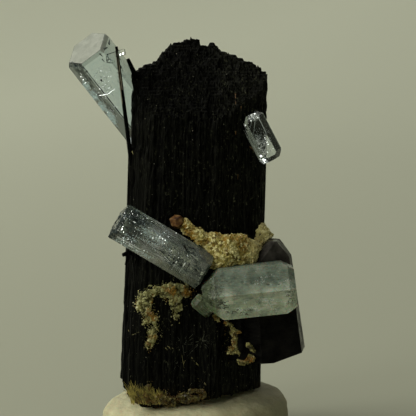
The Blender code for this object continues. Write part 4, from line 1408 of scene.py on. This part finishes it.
def make_world():
    """A dim room that is brighter above, behind and to the left."""
    world = bpy.data.worlds.new("studio")
    bpy.context.scene.world = world
    world.use_nodes = True
    tree = world.node_tree
    background = tree.nodes["Background"]
    place = tree.nodes.new("ShaderNodeTexCoord")
    direction = tree.nodes.new("ShaderNodeVectorMath")
    direction.operation = "DOT_PRODUCT"
    direction.inputs[1].default_value = ROOM_BRIGHT_SIDE
    ramp = tree.nodes.new("ShaderNodeValToRGB")
    dark, light = ramp.color_ramp.elements
    dark.position, dark.color = 0, (0.03, 0.03, 0.026, 1)
    light.position, light.color = 0.9, (0.8, 0.79, 0.72, 1)
    tree.links.new(place.outputs["Generated"], direction.inputs[0])
    tree.links.new(direction.outputs["Value"], ramp.inputs[0])
    tree.links.new(ramp.outputs[0], background.inputs["Color"])
    background.inputs["Strength"].default_value = ROOM_STRENGTH


def make_studio():
    make_camera()
    make_floor()
    make_world()
    make_light("key", KEY_PLACE, KEY_SIZE, KEY_POWER)
    make_light("fill", FILL_PLACE, FILL_SIZE, FILL_POWER)
    bpy.context.scene.view_settings.view_transform = "Standard"


# Assembly

def aquamarine_looks():
    """The material and the slot of each aquamarine."""
    ice = (0.6, 0.82, 0.9)
    return {
        "aquamarine_upper_left": (beryl_shader(
            "clear_beryl_upper_left", "aquamarine_upper_left", (0.6, 0.85, 0.97), 90, 1.0,
            [(0.1, (0.8, 0.88, 0.88)), (0.6, (1.0, 1.0, 1.0))], [(0.0, 0.6), (0.5, 0.9), (1.0, 1.0)],
        ), "aquamarine"),
        "aquamarine_upper_right": (beryl_shader(
            "clear_beryl_upper_right", "aquamarine_upper_right", ice, 60, 1.0,
            [(0.15, (0.4, 0.45, 0.45)), (0.5, (0.8, 0.86, 0.85)), (0.95, (1.0, 1.0, 1.0))],
            [(0.0, 1.0), (0.3, 0.8), (0.7, 0.6), (1.0, 0.9)],
        ), "aquamarine"),
        # Painted shade: its tones darken towards the clear left end, for the black column seen through it.
        "aquamarine_middle_left": (beryl_shader(
            "frosty_beryl_middle_left", "aquamarine_middle_left", ice, 60, 0.75,
            [(0.1, (0.1, 0.12, 0.125)), (0.4, (0.48, 0.55, 0.48)), (0.85, (1.0, 1.0, 1.0))],
            [(0.0, 0.6), (0.3, 0.65), (0.46, 1.0), (0.66, 1.0), (0.78, 0.35), (1.0, 0.25)],
        ), "aquamarine"),
        # Painted shade: each milky crystal's upper side takes the first, darker tone and its lower side the
        # second.
        "aquamarine_lower_right": (milky_shader(
            "milky_beryl_large", "aquamarine_lower_right", (0.37, 0.41, 0.39), (0.99, 1.0, 0.97),
        ), "milky_aquamarine"),
        "aquamarine_small": (milky_shader(
            "milky_beryl_small", "aquamarine_small", (0.24, 0.26, 0.19), (0.36, 0.38, 0.27),
        ), "milky_aquamarine"),
    }


def small_looks():
    """The materials of flakes, cracks, stains and fibres, by a short name."""
    return {
        "white": plain_shader("white_flakes", (0.85, 0.9, 0.9), 0.5, spread=0.12),
        "dust": plain_shader("pale_dust", (0.16, 0.155, 0.11), 0.6),
        "brown": plain_shader("brown_fibres", (0.13, 0.075, 0.022), 0.6),
        "olive": plain_shader("olive_fibres", (0.38, 0.32, 0.08), 0.6),
        "needles": plain_shader("white_needles", (0.085, 0.09, 0.065), 0.4),
        "bright": plain_shader("bright_cracks", (0.8, 0.86, 0.88), 0.25, spread=0.1, Metallic=1),
        # Dark inclusions, and painted shade along the edges and outlines of clear glass.
        "shade": plain_shader("dark_inclusions_and_painted_shade", (0.01, 0.009, 0.007), 0.8, Specular_IOR_Level=0.02),
        "grey": plain_shader("grey_shades", (0.12, 0.145, 0.135), 0.4),
        "icy": plain_shader("icy_flakes", (0.6, 0.75, 0.8), 0.4, spread=0.2),
        "glassy": plain_shader("green_frost", (0.42, 0.46, 0.37), 0.35, spread=0.4, per_mm=1.2),
        "deep": plain_shader("deep_shades", (0.05, 0.065, 0.065), 0.6, Specular_IOR_Level=0.1),
        "moss": plain_shader("mossy_shades", (0.13, 0.15, 0.105), 0.5),
        "matt": plain_shader("matt_shades", (0.085, 0.105, 0.065), 0.8, Specular_IOR_Level=0.0),
        "rust": plain_shader("rusty_stain", (0.16, 0.08, 0.022), 0.6),
        "pale": plain_shader("pale_grains", (0.3, 0.27, 0.11), 0.6),
        # Painted highlights along the needle's edges, in a brownish tone.
        "needle": plain_shader("brown_needle_highlights", (0.24, 0.21, 0.15), 0.5),
    }


def grow_column(looks):
    """The dressed column; what comes back is the tree that finds places on it."""
    black = tourmaline_shader()
    skin = column_skin(black)
    make_needles(black, looks["needle"])
    tree = tree_of(skin)
    column_dust(skin, looks["dust"])
    stain_spots(tree, looks)
    return tree


def grow_aquamarines(looks):
    """The five aquamarines, with what is in and on them."""
    frosted = frosted_end_shader()
    crystals = {}
    beryls = aquamarine_looks()
    for node, (material, slot) in beryls.items():
        spec = AQUAMARINES[node]
        crystals[node] = Crystal(node, tree_of(facetted(
            node + "_crystal", 1.5 * crystal_length(spec), beryl_planes(spec),
            crystal_frame(spec), BERYL_EDGE, material, slot, node,
            frosted if node == "aquamarine_upper_left" else None,
        )), slot, looks)
    dress_upper_left(crystals["aquamarine_upper_left"])
    dress_upper_right(crystals["aquamarine_upper_right"])
    dress_middle_left(crystals["aquamarine_middle_left"])
    dress_lower_right(crystals["aquamarine_lower_right"])
    needle_chips(beryls["aquamarine_upper_left"][0], looks)


def grow_quartz_and_garnet():
    facetted(
        "smoky_quartz_crystal", 2 * QUARTZ_HEIGHT, quartz_planes(), Matrix.Translation(mm(QUARTZ_FOOT)),
        QUARTZ_EDGE, smoky_shader(), "smoky_quartz", "smoky_quartz",
    )
    turn = Euler([math.radians(angle) for angle in GARNET_TURN]).to_matrix().to_4x4()
    facetted(
        "garnet_crystal", 3 * GARNET_RADIUS, garnet_planes(), Matrix.Translation(mm(GARNET_CENTRE)) @ turn,
        GARNET_EDGE, garnet_shader(), "garnet", "garnet",
    )


def lay_mica(tree, looks):
    """The crusts and the fringe, with the grains spilled round them."""
    # The yellow mica's right lobe is painted lighter: partly its own colour, partly painted light.
    yellow = mica_shader(
        "yellow_mica", (0.82, 0.76, 0.38), (0.46, 0.39, 0.11), (0.17, 0.12, 0.02), (0.4, 0.235, 0.03),
        0.47, lobe=0.5,
    )
    ochre = mica_shader(
        "ochre_mica", (0.47, 0.46, 0.22), (0.28, 0.27, 0.095), (0.08, 0.07, 0.02), (0.28, 0.14, 0.008), 0.52,
    )
    # Painted shade: a darker mica for the crust between the plates, as shade in the gaps between them.
    painted_gap_shade = mica_shader(
        "crust_shade", (0.3, 0.26, 0.1), (0.16, 0.125, 0.035), (0.05, 0.035, 0.01), (0.22, 0.1, 0.012), 0.5,
    )
    drab = mica_shader(
        "drab_mica", (0.42, 0.39, 0.16), (0.21, 0.185, 0.05), (0.05, 0.04, 0.012), (0.26, 0.12, 0.012), 0.49,
    )
    olive = mica_shader(
        "fringe_mica", (0.19, 0.165, 0.05), (0.1, 0.08, 0.018), (0.03, 0.024, 0.008), (0.15, 0.075, 0.01),
        0.45,
    )
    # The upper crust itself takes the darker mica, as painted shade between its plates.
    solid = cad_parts["mica_crust_upper"]
    solid.data.materials.clear()
    solid.data.materials.append(painted_gap_shade)
    mica_plates("mica_plates_upper", "mica_crust_upper", 3400, (0.14, 0.44), 51, yellow)
    mica_plates("mica_grains_upper", "mica_crust_upper", 1800, (0.06, 0.16), 55, yellow)
    mica_plates("mica_plates_lobe", "mica_crust_upper", 3000, (0.1, 0.3), 72, yellow, lean=1.4, from_x=6.4)
    for node, name, count, sizes, seed, material, clump in (
        ("mica_crust_left", "mica_plates_left", 4200, (0.05, 0.15), 52, ochre, 0.0),
        ("mica_crust_right", "mica_plates_right", 5200, (0.05, 0.15), 53, drab, 0.16),
        ("mica_fringe_base", "mica_plates_base", 4200, (0.05, 0.14), 54, olive, 0.0),
    ):
        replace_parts(mica_plates(name, node, count, sizes, seed, material, clump, sunk=0.5), node)
    mica_plates("mica_flakes_left", "mica_crust_left", 1700, (0.1, 0.27), 59, ochre, -0.02, sunk=0.25)
    spilled_grains("mica_grains_left", "mica_crust_left", tree, 1300, 0.32, 0.07, 56, ochre)
    spilled_grains("mica_grains_right", "mica_crust_right", tree, 400, 0.35, 0.05, 57, olive)
    spilled_grains("mica_grains_base", "mica_fringe_base", tree, 300, 0.5, 0.05, 58, olive)
    star_needles(tree, looks["needles"])
    fringe_fibres(tree, (looks["olive"], looks["brown"]))


def main():
    looks = small_looks()
    tree = grow_column(looks)
    grow_aquamarines(looks)
    grow_quartz_and_garnet()
    lay_mica(tree, looks)
    putty_skin(putty_shader())
    make_studio()


main()
[[list(corner) for corner in box] for box in (CAD_BOX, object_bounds())]
